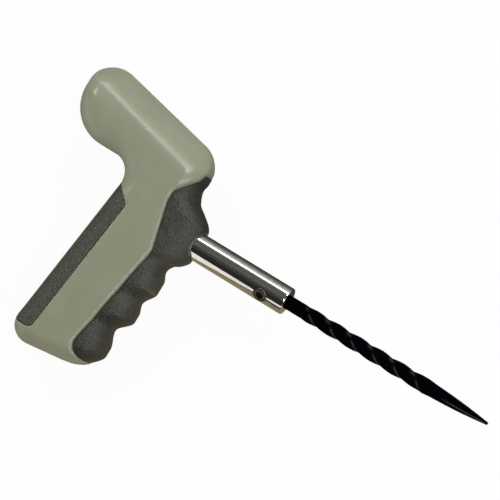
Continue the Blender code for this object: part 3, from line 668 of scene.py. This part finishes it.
def rubber_ring(y, seam, reach, heights):
    """A level ring from the seam over the left side, round the free edge and back on the right side."""
    shares = [0.0, SEAM_STEP_SHARE]
    shares += [math.sin(math.pi / 2 * (k + 1) / RUBBER_STEPS) for k in range(RUBBER_STEPS)]
    xs = np.array([seam + (reach - seam) * share for share in shares])
    zs = heights(np.stack([xs, np.full(len(xs), y)], axis=1))
    zs[0] -= min(SEAM_STEP_DROP, zs[0] / 2)
    zs[-1] = 0.0
    left = [(x, y, MID_Z + z) for x, z in zip(xs, zs)]
    right = [(x, y, MID_Z - z) for x, z in zip(xs[:-1], zs[:-1])]
    return left + right[::-1]


def rubber_levels(top, count):
    """Heights from the top of a rubber piece to its end, each with a height at which its seam is found."""
    bottom = RUBBER_END_Y + GAP
    levels = [top + (bottom - top) * level / count for level in range(count + 1)]
    return list(zip(levels, levels[:-1] + [levels[-1] + LEVEL_SPARE]))


def front_height(points):
    """Height of the front grip's side above the middle plane, for points at one level."""
    front, half, depth = curve_values(FRONT_STATIONS, points[0, 1])
    share = np.clip((points[:, 0] - front + depth) / depth, 0.0, 1.0)
    return half * np.maximum(1.0 - share ** FRONT_FULLNESS, 0.0) ** (1.0 / FRONT_FULLNESS)


def make_front_grip(finish):
    room = arc_points(grown(FRONT_LINE, -GAP))
    rings = []
    for y, seam_y in rubber_levels(FRONT_TOP_Y, FRONT_LEVELS):
        front = curve_values(FRONT_STATIONS, y)[0]
        seam = min(seam_x(room, seam_y, False), front - RUBBER_LEAST_WIDTH)
        rings.append(rubber_ring(y, seam, front, front_height))
    mesh = cut_mesh("front_grip_rubber", bridged(rings), [holder_bore()])
    finished_mesh("front_grip_rubber", mesh, "handle", finish, "dark_rubber", "front_finger_grip", sharp=40)


def strip_height(points):
    """Height of the back strip's side above the middle plane, a little below the olive."""
    return np.maximum(side_height(points) - STRIP_SINK, 0.0)


def make_back_strip(finish):
    room = arc_points(grown(strip_corners(), -STRIP_GAP))
    rings = []
    for y, seam_y in rubber_levels(STRIP_TOP_Y + STRIP_RISE, STRIP_LEVELS):
        edge = seam_x(OUTLINE, y, False)
        seam = max(seam_x(room, seam_y, True), edge + RUBBER_LEAST_WIDTH)
        rings.append(rubber_ring(y, seam, edge, strip_height))
    shape = bridged(rings)
    finished("back_strip_rubber", shape, "handle", finish, "dark_rubber", "back_grip_strip", sharp=40)


# Metal

def on_screw_axis(height):
    """The point on the set screw's axis at this height from the shank's axis."""
    way = Vector((0.0, -math.sin(SET_SCREW_TURN), math.cos(SET_SCREW_TURN)))
    return Vector((SET_SCREW_X, 0.0, MID_Z)) + way * height


def make_holder(finish):
    floor = HOLDER_END_X - SOCKET_DEPTH
    bend = HOLDER_CHAMFER * HOLDER_CHAMFER_BEND
    profile = [
        (floor, 0.0),
        (floor, SOCKET_RADIUS),
        (HOLDER_END_X - SOCKET_CHAMFER, SOCKET_RADIUS),
        (HOLDER_END_X, SOCKET_RADIUS + SOCKET_CHAMFER),
        (HOLDER_END_X, HOLDER_RADIUS - HOLDER_CHAMFER),
        (HOLDER_END_X - bend, HOLDER_RADIUS - bend),
        (HOLDER_END_X - HOLDER_CHAMFER, HOLDER_RADIUS),
        (HOLDER_CHAMFER, HOLDER_RADIUS),
        (0.0, HOLDER_RADIUS - HOLDER_CHAMFER),
        (0.0, 0.0),
    ]
    cutters = [
        rod(PIN_RADIUS + GAP, (PIN_X, 0, 0), (PIN_X, 0, 2 * MID_Z)),
        rod(SET_SCREW_RADIUS + SET_SCREW_BORE_GAP, on_screw_axis(0.0), on_screw_axis(CUTTER_REACH)),
    ]
    mesh = cut_mesh("holder_bar", spun(profile, HOLDER_SIDES), cutters)
    finished_mesh("holder_bar", mesh, "handle", finish, "chrome", "shank_holder", sharp=30)


def make_set_screw(finish):
    profile = [(SET_SCREW_TOP, 0.0)]
    profile += [(SET_SCREW_TOP - depth, SET_SCREW_RADIUS - width) for depth, width in SET_SCREW_EDGE]
    profile += [
        (SET_SCREW_TIP + SET_SCREW_TIP_CHAMFER, SET_SCREW_RADIUS),
        (SET_SCREW_TIP, SET_SCREW_RADIUS - SET_SCREW_TIP_CHAMFER),
        (SET_SCREW_TIP, 0.0),
    ]
    shape = spun(profile, SET_SCREW_SIDES)
    place = (
        Matrix.Translation((SET_SCREW_X, 0.0, MID_Z))
        @ Matrix.Rotation(SET_SCREW_TURN, 4, "X")
        @ Matrix.Rotation(-math.pi / 2, 4, "Y")
        @ Matrix.Translation((0.0, 0.0, -MID_Z))
    )
    bmesh.ops.transform(shape, matrix=place, verts=shape.verts)
    key_floor = on_screw_axis(SET_SCREW_TOP - SET_SCREW_KEY_DEPTH)
    key = rod(SET_SCREW_KEY / math.sqrt(3), key_floor, on_screw_axis(CUTTER_REACH), sides=6)
    mesh = cut_mesh("grub_screw", shape, [key])
    finished_mesh("grub_screw", mesh, "set_screw", finish, "dark_steel", "set_screw", sharp=30)


def groove_share(x, way):
    """How far through one turn of the spiral groove a place lies: 0 and 1 at its bottom."""
    along = x - SHANK_BARE_LENGTH - GROOVE_LAG + GROOVE_LEAD * (way / (2 * math.pi) - 0.25)
    along = along + GROOVE_SKEW * (np.sin(way) - 1) + GROOVE_BOW * np.cos(way)
    return (along / GROOVE_LEAD) % 1.0


def rasp_ring(x):
    """Points round the rasp at this distance from the holder's end."""
    way = np.linspace(0.0, 2 * math.pi, RASP_SIDES, endpoint=False)
    rise = eased(SHANK_BARE_LENGTH, SHANK_BARE_LENGTH + RISE_LENGTH, x)
    depth = (RIDGE_RADIUS - GROOVE_RADIUS) * np.clip((TIP_START - x) / GROOVE_FADE, 0.0, 1.0)
    lobe = np.sin(math.pi * groove_share(x, way))
    toothed = TOOTH_DEPTH * (1.0 - eased(TIP_START - TOOTH_FADE_BEFORE, TIP_START + TOOTH_FADE_PAST, x))
    tooth = toothed * abs(((x / TOOTH_PITCH) % 1.0) - 0.5) * 2
    grooved = RIDGE_RADIUS - depth * (1 - lobe) - tooth * lobe
    half_facet = math.pi / TIP_FACETS
    off_facet = (way - TIP_FACETS_TURN) % (2 * half_facet) - half_facet
    facet = RIDGE_RADIUS * math.cos(half_facet) / np.cos(off_facet)
    faceted = np.clip((x - TIP_START) / FACET_LENGTH, 0.0, 1.0)
    ridged = grooved + (facet - grooved) * faceted
    taper = np.clip((x - TIP_START + TAPER_LAP) / TAPER_LENGTH, 0.0, 1.0)
    scale = 1.0 - (1.0 - TIP_SHARE) * taper ** TAPER_POWER
    reach = scale * (SHANK_RADIUS + (ridged - SHANK_RADIUS) * rise)
    return [(HOLDER_END_X + x, r * math.sin(a), MID_Z + r * math.cos(a)) for r, a in zip(reach, way)]


def mark_wear_and_painted_sheen(mesh):
    """Marks how much each point of the rasp is painted lighter: highlights painted by the groove's bottom,
    and worn bare edges on the tip.
    """
    places = np.empty(3 * len(mesh.vertices))
    mesh.vertices.foreach_get("co", places)
    x, y, z = places.reshape(-1, 3).T
    x = x - HOLDER_END_X
    way = np.arctan2(y, z - MID_Z)
    across = (groove_share(x, way) + 0.5) % 1.0 - 0.5
    # Painted highlights: a line at the groove's bottom on the lower side, a patch beside it on the upper side
    painted_low_highlight = np.exp(-(across / LOW_LINE_WIDTH) ** 2) * eased(*LOW_LINE_SIDES, np.sin(way))
    painted_high_highlight = np.exp(-((across + HIGH_PATCH_WIDTH) / HIGH_PATCH_WIDTH) ** 2)
    painted_high_highlight = HIGH_PATCH_SHARE * painted_high_highlight * eased(*HIGH_PATCH_SIDES, np.sin(way))
    groove = np.maximum(painted_low_highlight, painted_high_highlight)
    # Worn bare edges on the tip, standing in too for their highlight
    on_facet = ((way - TIP_FACETS_TURN) * TIP_FACETS / (2 * math.pi)) % 1.0
    edge = np.exp(-(np.minimum(on_facet, 1.0 - on_facet) / TIP_WEAR_WIDTH) ** 2)
    tip = eased(TIP_START + FACET_LENGTH, TIP_START + 2 * FACET_LENGTH, x)
    twisted = eased(SHANK_BARE_LENGTH, SHANK_BARE_LENGTH + RISE_LENGTH, x)
    twisted = twisted * (1.0 - eased(TIP_START - GROOVE_FADE, TIP_START, x))
    wear_and_painted_sheen = mesh.attributes.new("wear_and_painted_sheen", "FLOAT", "POINT")
    wear_and_painted_sheen.data.foreach_set("value", np.maximum(groove * twisted, edge * tip))


def seat_flat():
    """The block that cuts the flat for the set screw on the shank."""
    flat = bmesh.new()
    bmesh.ops.create_cube(flat, size=1.0)
    bmesh.ops.scale(flat, verts=flat.verts, vec=(2 * SOCKET_DEPTH, 4 * SHANK_RADIUS, 2 * SHANK_RADIUS))
    middle = (SEAT_FLAT_END - SOCKET_DEPTH, 0.0, 2 * SHANK_RADIUS - SEAT_FLAT_DEPTH)
    bmesh.ops.translate(flat, verts=flat.verts, vec=middle)
    place = Matrix.Translation((HOLDER_END_X, 0, MID_Z)) @ Matrix.Rotation(SET_SCREW_TURN, 4, "X")
    bmesh.ops.transform(flat, matrix=place, verts=flat.verts)
    return flat


def make_rasp(finish):
    tail = GAP - SOCKET_DEPTH
    tip = TIP_START - TAPER_LAP + TAPER_LENGTH
    step = TOOTH_PITCH / TOOTH_STEPS
    teeth_end = TIP_START + TOOTH_FADE_PAST
    stations = [tail, tail + TAIL_CHAMFER, -SOCKET_STEP, 0.0, SHANK_BARE_LENGTH]
    stations += list(np.arange(SHANK_BARE_LENGTH + step, teeth_end, step))
    stations += list(np.linspace(teeth_end + TIP_FIRST_STEP, tip, TIP_STEPS))
    rings = [rasp_ring(x) for x in stations]
    rings[0] = [(x, y * TAIL_END_SHARE, MID_Z + (z - MID_Z) * TAIL_END_SHARE) for x, y, z in rings[0]]
    mesh = cut_mesh("rasp_blade", bridged(rings), [seat_flat()])
    mark_wear_and_painted_sheen(mesh)
    finished_mesh("rasp_blade", mesh, "rasp", finish, "black_oxide", "rasp", sharp=30)


# Finishes: colours, and the scales of their patterns in cells per metre

OLIVE_SHADES = [(0.3, (0.230, 0.236, 0.163)), (0.7, (0.252, 0.259, 0.182))]
OLIVE_ROUGHNESS = [(0.3, 0.29), (0.7, 0.34)]
OLIVE_SPECULAR = 0.70
OLIVE_CLOUD_SCALE = 90.0
OLIVE_GLOSS_SCALE = 260.0
OLIVE_GRAIN_SCALE = 2200.0
OLIVE_GRAIN_DEPTH = 0.00008
OLIVE_GRAIN_STRENGTH = 0.12
# Rubber grain: colours of its creases, painted darker as shade in them, and of its cells
FRONT_CREASE = (0.017, 0.0176, 0.0132)
FRONT_CELL = (0.040, 0.041, 0.031)
# The back strip's rubber: the same rubber painted lighter, for the light it catches
STRIP_CREASE = (0.032, 0.033, 0.023)
STRIP_CELL = (0.062, 0.064, 0.046)
CREASE_SHARE = 0.02
CELL_SHARE = 0.22
RUBBER_ROUGHNESS = 0.46
RUBBER_CELL_SCALE = 780.0
RUBBER_WRINKLE_SCALE = 900.0
RUBBER_GRAIN_DEPTH = 0.0004
RUBBER_CELL_STRENGTH = 0.80
RUBBER_WRINKLE_STRENGTH = 0.70
# Painted highlight on the front rubber's rim round the holder's hole: its colour, width, and the scale and
# breaks of its pattern
RIM_HIGHLIGHT_COLOUR = (0.24, 0.24, 0.22, 1.0)
RIM_WIDTH = 0.0014
RIM_SCALE = 420.0
RIM_BREAKS = [(0.40, 0.1), (0.60, 1.0)]
# Rasp: its black, and the lighter shade of its painted groove highlights and worn tip edges
OXIDE_SHADES = [(0.0, (0.0015, 0.0010, 0.0020)), (1.0, (0.034, 0.029, 0.038))]
OXIDE_ROUGHNESS = [(0.0, 0.50), (1.0, 0.22)]
OXIDE_SPECULAR = [(0.0, 0.0), (1.0, 0.80)]
OXIDE_BREAKS = [(0.35, 0.45), (0.60, 1.0)]
OXIDE_SCALE = 700.0
OXIDE_GRAIN_STRENGTH = 0.05
METAL_GRAIN_DEPTH = 0.00005


def node_material(name):
    """A new finish, with its nodes, their links and its shader."""
    finish = bpy.data.materials.new(name)
    finish.use_nodes = True
    nodes = finish.node_tree.nodes
    return finish, nodes, finish.node_tree.links, nodes["Principled BSDF"]


def object_texture(nodes, links, kind, scale, **inputs):
    """A pattern that stays fixed on the piece."""
    place = nodes.new("ShaderNodeTexCoord")
    texture = nodes.new(kind)
    links.new(place.outputs["Object"], texture.inputs["Vector"])
    texture.inputs["Scale"].default_value = scale
    for name, value in inputs.items():
        texture.inputs[name].default_value = value
    return texture


def ramp(nodes, links, source, stops):
    scale = nodes.new("ShaderNodeValToRGB")
    links.new(source, scale.inputs["Fac"])
    elements = scale.color_ramp.elements
    while len(elements) < len(stops):
        elements.new(0.5)
    for element, (position, colour) in zip(elements, stops):
        element.position = position
        element.color = (*colour, 1.0)
    return scale.outputs["Color"]


def shade_ramp(nodes, links, source, stops):
    """A ramp of greys, for a value such as the roughness."""
    return ramp(nodes, links, source, [(position, (shade,) * 3) for position, shade in stops])


def product(nodes, links, first, second):
    times = nodes.new("ShaderNodeMath")
    times.operation = "MULTIPLY"
    links.new(first, times.inputs[0])
    links.new(second, times.inputs[1])
    return times.outputs["Value"]


def bump(nodes, links, source, strength, distance, normal=None):
    bumps = nodes.new("ShaderNodeBump")
    bumps.inputs["Strength"].default_value = strength
    bumps.inputs["Distance"].default_value = distance
    links.new(source, bumps.inputs["Height"])
    if normal is not None:
        links.new(normal, bumps.inputs["Normal"])
    return bumps.outputs["Normal"]


def olive_plastic():
    finish, nodes, links, shader = node_material("olive_plastic")
    shader.inputs["Specular IOR Level"].default_value = OLIVE_SPECULAR
    cloud = object_texture(nodes, links, "ShaderNodeTexNoise", OLIVE_CLOUD_SCALE, Detail=4.0, Roughness=0.6)
    links.new(ramp(nodes, links, cloud.outputs["Fac"], OLIVE_SHADES), shader.inputs["Base Color"])
    gloss = object_texture(nodes, links, "ShaderNodeTexNoise", OLIVE_GLOSS_SCALE, Detail=3.0)
    links.new(shade_ramp(nodes, links, gloss.outputs["Fac"], OLIVE_ROUGHNESS), shader.inputs["Roughness"])
    grain = object_texture(nodes, links, "ShaderNodeTexNoise", OLIVE_GRAIN_SCALE, Detail=2.0)
    grained = bump(nodes, links, grain.outputs["Fac"], OLIVE_GRAIN_STRENGTH, OLIVE_GRAIN_DEPTH)
    links.new(grained, shader.inputs["Normal"])
    return finish


def painted_rim_highlight(nodes, links, colour):
    """The colour with a painted highlight: a lighter, broken rim round the holder's hole."""
    place = nodes.new("ShaderNodeTexCoord")
    shift = nodes.new("ShaderNodeVectorMath")
    shift.operation = "SUBTRACT"
    shift.inputs[1].default_value = (0.0, 0.0, MID_Z)
    links.new(place.outputs["Object"], shift.inputs[0])
    across = nodes.new("ShaderNodeVectorMath")
    across.operation = "MULTIPLY"
    across.inputs[1].default_value = (0.0, 1.0, 1.0)
    links.new(shift.outputs["Vector"], across.inputs[0])
    away = nodes.new("ShaderNodeVectorMath")
    away.operation = "LENGTH"
    links.new(across.outputs["Vector"], away.inputs[0])
    near = nodes.new("ShaderNodeMapRange")
    near.inputs["From Min"].default_value = HOLDER_RADIUS + RIM_WIDTH
    near.inputs["From Max"].default_value = HOLDER_RADIUS + GAP
    links.new(away.outputs["Value"], near.inputs["Value"])
    rim_pattern = object_texture(nodes, links, "ShaderNodeTexNoise", RIM_SCALE, Detail=4.0, Roughness=0.6)
    breaks = shade_ramp(nodes, links, rim_pattern.outputs["Fac"], RIM_BREAKS)
    mix = nodes.new("ShaderNodeMix")
    mix.data_type = "RGBA"
    links.new(product(nodes, links, near.outputs["Result"], breaks), mix.inputs["Factor"])
    links.new(colour, mix.inputs["A"])
    mix.inputs["B"].default_value = RIM_HIGHLIGHT_COLOUR
    return mix.outputs["Result"]


def grained_rubber(name, crease, cell, highlit_rim):
    """Rubber with a grain like leather, in two tones with painted shade in its creases, and with or without a
    painted highlight on a rim round the holder.
    """
    finish, nodes, links, shader = node_material(name)
    shader.inputs["Roughness"].default_value = RUBBER_ROUGHNESS
    cells = object_texture(nodes, links, "ShaderNodeTexVoronoi", RUBBER_CELL_SCALE)
    cells.feature = "DISTANCE_TO_EDGE"
    distance = cells.outputs["Distance"]
    # Painted shade: the grain's creases darker than its cells
    colour = ramp(nodes, links, distance, [(CREASE_SHARE, crease), (CELL_SHARE, cell)])
    # Painted highlight on a rim round the holder's hole
    if highlit_rim:
        colour = painted_rim_highlight(nodes, links, colour)
    links.new(colour, shader.inputs["Base Color"])
    wrinkles = object_texture(
        nodes, links, "ShaderNodeTexNoise", RUBBER_WRINKLE_SCALE, Detail=4.0, Roughness=0.6
    )
    leather = bump(nodes, links, distance, RUBBER_CELL_STRENGTH, RUBBER_GRAIN_DEPTH)
    height = wrinkles.outputs["Fac"]
    wrinkled = bump(nodes, links, height, RUBBER_WRINKLE_STRENGTH, RUBBER_GRAIN_DEPTH, leather)
    links.new(wrinkled, shader.inputs["Normal"])
    return finish


def metal(name, colour, roughness, grain_scale, grain, uneven=0.10):
    """Bare or plated metal, clouded and grained."""
    finish, nodes, links, shader = node_material(name)
    shader.inputs["Metallic"].default_value = 1.0
    cloud = object_texture(nodes, links, "ShaderNodeTexNoise", grain_scale, Detail=4.0)
    clouds = cloud.outputs["Fac"]
    dark = tuple((1.0 - uneven) * value for value in colour)
    links.new(ramp(nodes, links, clouds, [(0.3, dark), (0.7, colour)]), shader.inputs["Base Color"])
    sheen = shade_ramp(nodes, links, clouds, [(0.3, 0.8 * roughness), (0.7, 1.2 * roughness)])
    links.new(sheen, shader.inputs["Roughness"])
    links.new(bump(nodes, links, clouds, grain, METAL_GRAIN_DEPTH), shader.inputs["Normal"])
    return finish


def black_oxide():
    """Dull black, lighter, smoother and glossier where highlights are painted in the grooves and where the
    tip's edges are worn bare.
    """
    finish, nodes, links, shader = node_material("black_oxide")
    wear_and_painted_sheen = nodes.new("ShaderNodeAttribute")
    wear_and_painted_sheen.attribute_name = "wear_and_painted_sheen"
    cloud = object_texture(nodes, links, "ShaderNodeTexNoise", OXIDE_SCALE, Detail=4.0, Roughness=0.6)
    clouds = cloud.outputs["Fac"]
    # Lighter where highlights are painted in the grooves and where the tip's edges are worn, broken up by the
    # clouds
    worn_and_sheen_share = product(nodes, links, wear_and_painted_sheen.outputs["Fac"], shade_ramp(nodes, links, clouds, OXIDE_BREAKS))
    links.new(ramp(nodes, links, worn_and_sheen_share, OXIDE_SHADES), shader.inputs["Base Color"])
    links.new(shade_ramp(nodes, links, worn_and_sheen_share, OXIDE_ROUGHNESS), shader.inputs["Roughness"])
    links.new(shade_ramp(nodes, links, worn_and_sheen_share, OXIDE_SPECULAR), shader.inputs["Specular IOR Level"])
    links.new(bump(nodes, links, clouds, OXIDE_GRAIN_STRENGTH, METAL_GRAIN_DEPTH), shader.inputs["Normal"])
    return finish


# Studio: camera, floor, world, lamps and cards

VIEW_YAW = math.radians(14.0)
VIEW_ROLL = math.radians(31.3)
PHOTO_SIZE = 500
METRES_PER_PIXEL = 0.000438
ANCHOR = Vector((0.025, 0.0, MID_Z))
ANCHOR_PIXEL = (198.7, 247.6)
CAMERA_DISTANCE = 1.6
CAMERA_FAR = 20.0
SENSOR = 0.036
FLOOR_HALF_SIZE = 3.0
FLOOR_COLOUR = (0.80, 0.80, 0.79, 1.0)
FLOOR_ROUGHNESS = 0.9
FLOOR_WHITE_SHARE = 0.95

# Light of the world: by height, and by how far a place lies towards the light side
STUDIO_LEVELS = [(0.55, (0.45, 0.45, 0.44)), (0.80, (0.04, 0.04, 0.04))]
STUDIO_LIGHT_SIDE = (-0.75, -0.66, 0.0)
STUDIO_LIGHT_SHARE = 2.4
STUDIO_DARK_SHARE = 0.25

# Lamps: direction from the tool, distance, size and power
LIT_POINT = Vector((0.03, 0.0, MID_Z))
LAMPS = {
    "top_strip": ((-0.12, 0.85, 0.49), 0.80, (0.95, 0.22), 0.8),
    "head_strip": ((-0.12, 0.85, 0.49), 0.79, (0.95, 0.08), 1.9),
    "rear_spot": ((-0.68, 0.26, 0.69), 0.90, (0.13, 0.13), 1.6),
    "nose_spot": ((0.28, 0.70, 0.65), 0.90, (0.13, 0.13), 1.2),
    "boss_spot": ((0.31, -0.05, 0.95), 0.90, (0.14, 0.14), 0.9),
    "front_box": ((0.76, -0.05, 0.62), 1.20, (0.80, 0.80), 6.3),
    "fill_box": ((-0.75, -0.60, 0.34), 1.20, (1.20, 0.70), 1.8),
}

# Cards on the floor that the holder mirrors, shaded by their distance from the shank
CARD_ENDS = (-0.5, 0.16)
CARD_HEIGHT = 0.0005
CARD_MEETING_Y = 0.002
CARD_REACH = 1.0
CARD_SHADES = {
    "grey_card": [(0.020, (0.05, 0.05, 0.045)), (0.045, (0.12, 0.12, 0.105)), (0.25, (0.28, 0.28, 0.25))],
    "beige_card": [(0.010, (0.30, 0.25, 0.155)), (0.25, (0.22, 0.175, 0.10))],
}

# White card that stands beside the holder: its outline in x and z
WHITE_CARD_Y = -0.028
WHITE_CARD_COLOUR = (1.0, 0.97, 0.88, 1.0)
WHITE_CARD = [
    (0.016, 0.0115),
    (0.0373, 0.0195),
    (0.062, 0.0265),
    (0.150, 0.0275),
    (0.150, 0.0357),
    (0.016, 0.0357),
]

# Brightness of the studio in mirrors, by share of a turn about the shank from below (0.5 is overhead)
MIRRORED_STUDIO = [
    (0.25, 0.030),
    (0.42, 0.025),
    (0.50, 0.070),
    (0.545, 0.140),
    (0.59, 0.095),
    (0.62, 0.150),
    (0.72, 0.550),
    (0.75, 0.300),
]
MIRRORED_BLUE_SHARE = 0.97


def make_camera():
    to_camera = Vector((math.sin(VIEW_YAW), 0.0, math.cos(VIEW_YAW)))
    along = Vector((math.cos(VIEW_YAW), 0.0, -math.sin(VIEW_YAW)))
    right = along * math.cos(VIEW_ROLL) + Vector((0.0, 1.0, 0.0)) * math.sin(VIEW_ROLL)
    up = to_camera.cross(right)
    across = (PHOTO_SIZE / 2 - ANCHOR_PIXEL[0]) * METRES_PER_PIXEL
    rise = (ANCHOR_PIXEL[1] - PHOTO_SIZE / 2) * METRES_PER_PIXEL
    target = ANCHOR + right * across + up * rise
    camera = bpy.data.cameras.new("photo_camera")
    camera.sensor_width = 1000 * SENSOR
    camera.lens = 1000 * SENSOR * CAMERA_DISTANCE / (PHOTO_SIZE * METRES_PER_PIXEL)
    camera.clip_end = CAMERA_FAR
    obj = bpy.data.objects.new("photo_camera", camera)
    basis = Matrix((right, up, to_camera)).transposed().to_4x4()
    obj.matrix_world = Matrix.Translation(target + to_camera * CAMERA_DISTANCE) @ basis
    bpy.context.scene.collection.objects.link(obj)
    bpy.context.scene.camera = obj


def make_softbox(name, way, distance, size, power):
    """A soft rectangular lamp that faces the tool from this direction."""
    lamp = bpy.data.lights.new(name, "AREA")
    lamp.shape = "RECTANGLE"
    lamp.size, lamp.size_y = size
    lamp.energy = power
    obj = bpy.data.objects.new(name, lamp)
    way = Vector(way).normalized()
    obj.location = LIT_POINT + way * distance
    obj.rotation_euler = way.to_track_quat("Z", "Y").to_euler()
    bpy.context.scene.collection.objects.link(obj)


def make_floor():
    """A pale floor that the camera and mirrors see nearly white, with the tool's shadow on it."""
    shape = bmesh.new()
    bmesh.ops.create_grid(shape, x_segments=2, y_segments=2, size=FLOOR_HALF_SIZE)
    mesh = bpy.data.meshes.new("floor")
    shape.to_mesh(mesh)
    shape.free()
    floor = bpy.data.objects.new("floor", mesh)
    bpy.context.scene.collection.objects.link(floor)
    finish, nodes, links, shader = node_material("pale_floor")
    shader.inputs["Base Color"].default_value = FLOOR_COLOUR
    shader.inputs["Roughness"].default_value = FLOOR_ROUGHNESS
    rays = nodes.new("ShaderNodeLightPath")
    white = nodes.new("ShaderNodeEmission")
    white.inputs["Color"].default_value = (1.0, 1.0, 1.0, 1.0)
    seen = rays.outputs["Is Camera Ray"]
    for kind in ("Is Glossy Ray", "Is Transmission Ray"):
        either = nodes.new("ShaderNodeMath")
        either.operation = "ADD"
        either.use_clamp = True
        links.new(seen, either.inputs[0])
        links.new(rays.outputs[kind], either.inputs[1])
        seen = either.outputs["Value"]
    share = nodes.new("ShaderNodeMath")
    share.operation = "MULTIPLY"
    share.inputs[1].default_value = FLOOR_WHITE_SHARE
    links.new(seen, share.inputs[0])
    mix = nodes.new("ShaderNodeMixShader")
    links.new(share.outputs["Value"], mix.inputs["Fac"])
    links.new(shader.outputs["BSDF"], mix.inputs[1])
    links.new(white.outputs["Emission"], mix.inputs[2])
    links.new(mix.outputs["Shader"], nodes["Material Output"].inputs["Surface"])
    mesh.materials.append(finish)


def make_card(name, corners):
    """A flat, glowing card that only mirrors show: gives its nodes, their links and the glow's colour."""
    shape = bmesh.new()
    shape.faces.new([shape.verts.new(corner) for corner in corners])
    mesh = bpy.data.meshes.new(name)
    shape.to_mesh(mesh)
    shape.free()
    obj = bpy.data.objects.new(name, mesh)
    bpy.context.scene.collection.objects.link(obj)
    obj.visible_camera = False
    obj.visible_diffuse = False
    obj.visible_shadow = False
    finish, nodes, links, shader = node_material(name)
    glow = nodes.new("ShaderNodeEmission")
    links.new(glow.outputs["Emission"], nodes["Material Output"].inputs["Surface"])
    nodes.remove(shader)
    mesh.materials.append(finish)
    return nodes, links, glow.inputs["Color"]


def make_floor_card(name, start_y, end_y):
    low, high = CARD_ENDS
    corners = [(low, start_y), (high, start_y), (high, end_y), (low, end_y)]
    nodes, links, colour = make_card(name, [(x, y, CARD_HEIGHT) for x, y in corners])
    place = nodes.new("ShaderNodeTexCoord")
    parts = nodes.new("ShaderNodeSeparateXYZ")
    links.new(place.outputs["Object"], parts.inputs["Vector"])
    away = nodes.new("ShaderNodeMath")
    away.operation = "ABSOLUTE"
    links.new(parts.outputs["Y"], away.inputs[0])
    links.new(ramp(nodes, links, away.outputs["Value"], CARD_SHADES[name]), colour)


def make_white_card():
    _, _, colour = make_card("white_card", [(x, WHITE_CARD_Y, z) for x, z in WHITE_CARD])
    colour.default_value = WHITE_CARD_COLOUR


def make_world():
    """Soft light from one side for dull surfaces, and a studio of light and dark for mirrors."""
    world = bpy.data.worlds.new("studio")
    world.use_nodes = True
    bpy.context.scene.world = world
    nodes, links = world.node_tree.nodes, world.node_tree.links
    place = nodes.new("ShaderNodeTexCoord")
    parts = nodes.new("ShaderNodeSeparateXYZ")
    links.new(place.outputs["Generated"], parts.inputs["Vector"])
    level = ramp(nodes, links, parts.outputs["Z"], STUDIO_LEVELS)
    towards = nodes.new("ShaderNodeVectorMath")
    towards.operation = "DOT_PRODUCT"
    towards.inputs[1].default_value = STUDIO_LIGHT_SIDE
    links.new(place.outputs["Generated"], towards.inputs[0])
    side = nodes.new("ShaderNodeMapRange")
    side.inputs["From Min"].default_value = -1.0
    side.inputs["To Min"].default_value = STUDIO_DARK_SHARE
    side.inputs["To Max"].default_value = STUDIO_LIGHT_SHARE
    links.new(towards.outputs["Value"], side.inputs["Value"])
    light = nodes.new("ShaderNodeVectorMath")
    light.operation = "SCALE"
    links.new(level, light.inputs[0])
    links.new(side.outputs["Result"], light.inputs["Scale"])
    tilt = nodes.new("ShaderNodeMath")
    tilt.operation = "ARCTAN2"
    links.new(parts.outputs["Y"], tilt.inputs[0])
    links.new(parts.outputs["Z"], tilt.inputs[1])
    turn = nodes.new("ShaderNodeMapRange")
    turn.inputs["From Min"].default_value = -math.pi
    turn.inputs["From Max"].default_value = math.pi
    links.new(tilt.outputs["Value"], turn.inputs["Value"])
    shades = [(turned, (shade, shade, MIRRORED_BLUE_SHARE * shade)) for turned, shade in MIRRORED_STUDIO]
    mirrored = ramp(nodes, links, turn.outputs["Result"], shades)
    rays = nodes.new("ShaderNodeLightPath")
    mix = nodes.new("ShaderNodeMix")
    mix.data_type = "RGBA"
    links.new(rays.outputs["Is Glossy Ray"], mix.inputs["Factor"])
    links.new(light.outputs["Vector"], mix.inputs["A"])
    links.new(mirrored, mix.inputs["B"])
    links.new(mix.outputs["Result"], nodes["Background"].inputs["Color"])


bpy.context.scene.view_settings.view_transform = "Standard"
make_camera()
make_world()
make_floor()
for name, setting in LAMPS.items():
    make_softbox(name, *setting)
make_floor_card("grey_card", CARD_MEETING_Y, CARD_REACH)
make_floor_card("beige_card", -CARD_REACH, CARD_MEETING_Y)
make_white_card()

OLIVE = olive_plastic()
FRONT_RUBBER = grained_rubber("front_rubber", FRONT_CREASE, FRONT_CELL, highlit_rim=True)
# The back strip's rubber, painted lighter for the light it catches
BACK_RUBBER_PAINTED_LIGHTER = grained_rubber("back_rubber_painted_lighter", STRIP_CREASE, STRIP_CELL, highlit_rim=False)
CHROME = metal("chrome_plate", (0.83, 0.83, 0.81), roughness=0.04, grain_scale=520.0, grain=0.02, uneven=0.22)
DARK_STEEL = metal("dark_steel", (0.10, 0.09, 0.075), roughness=0.40, grain_scale=1200.0, grain=0.3)
BLACK_OXIDE = black_oxide()
ZINC = metal("zinc_plate", (0.45, 0.45, 0.44), roughness=0.35, grain_scale=1200.0, grain=0.2)

make_shells(OLIVE)
make_front_grip(FRONT_RUBBER)
make_back_strip(BACK_RUBBER_PAINTED_LIGHTER)
make_holder(CHROME)
make_set_screw(DARK_STEEL)
make_rasp(BLACK_OXIDE)
for name in ["anchor_pin", *screw_places()]:
    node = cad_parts[name]
    node.data.materials.clear()
    node.data.materials.append(ZINC)
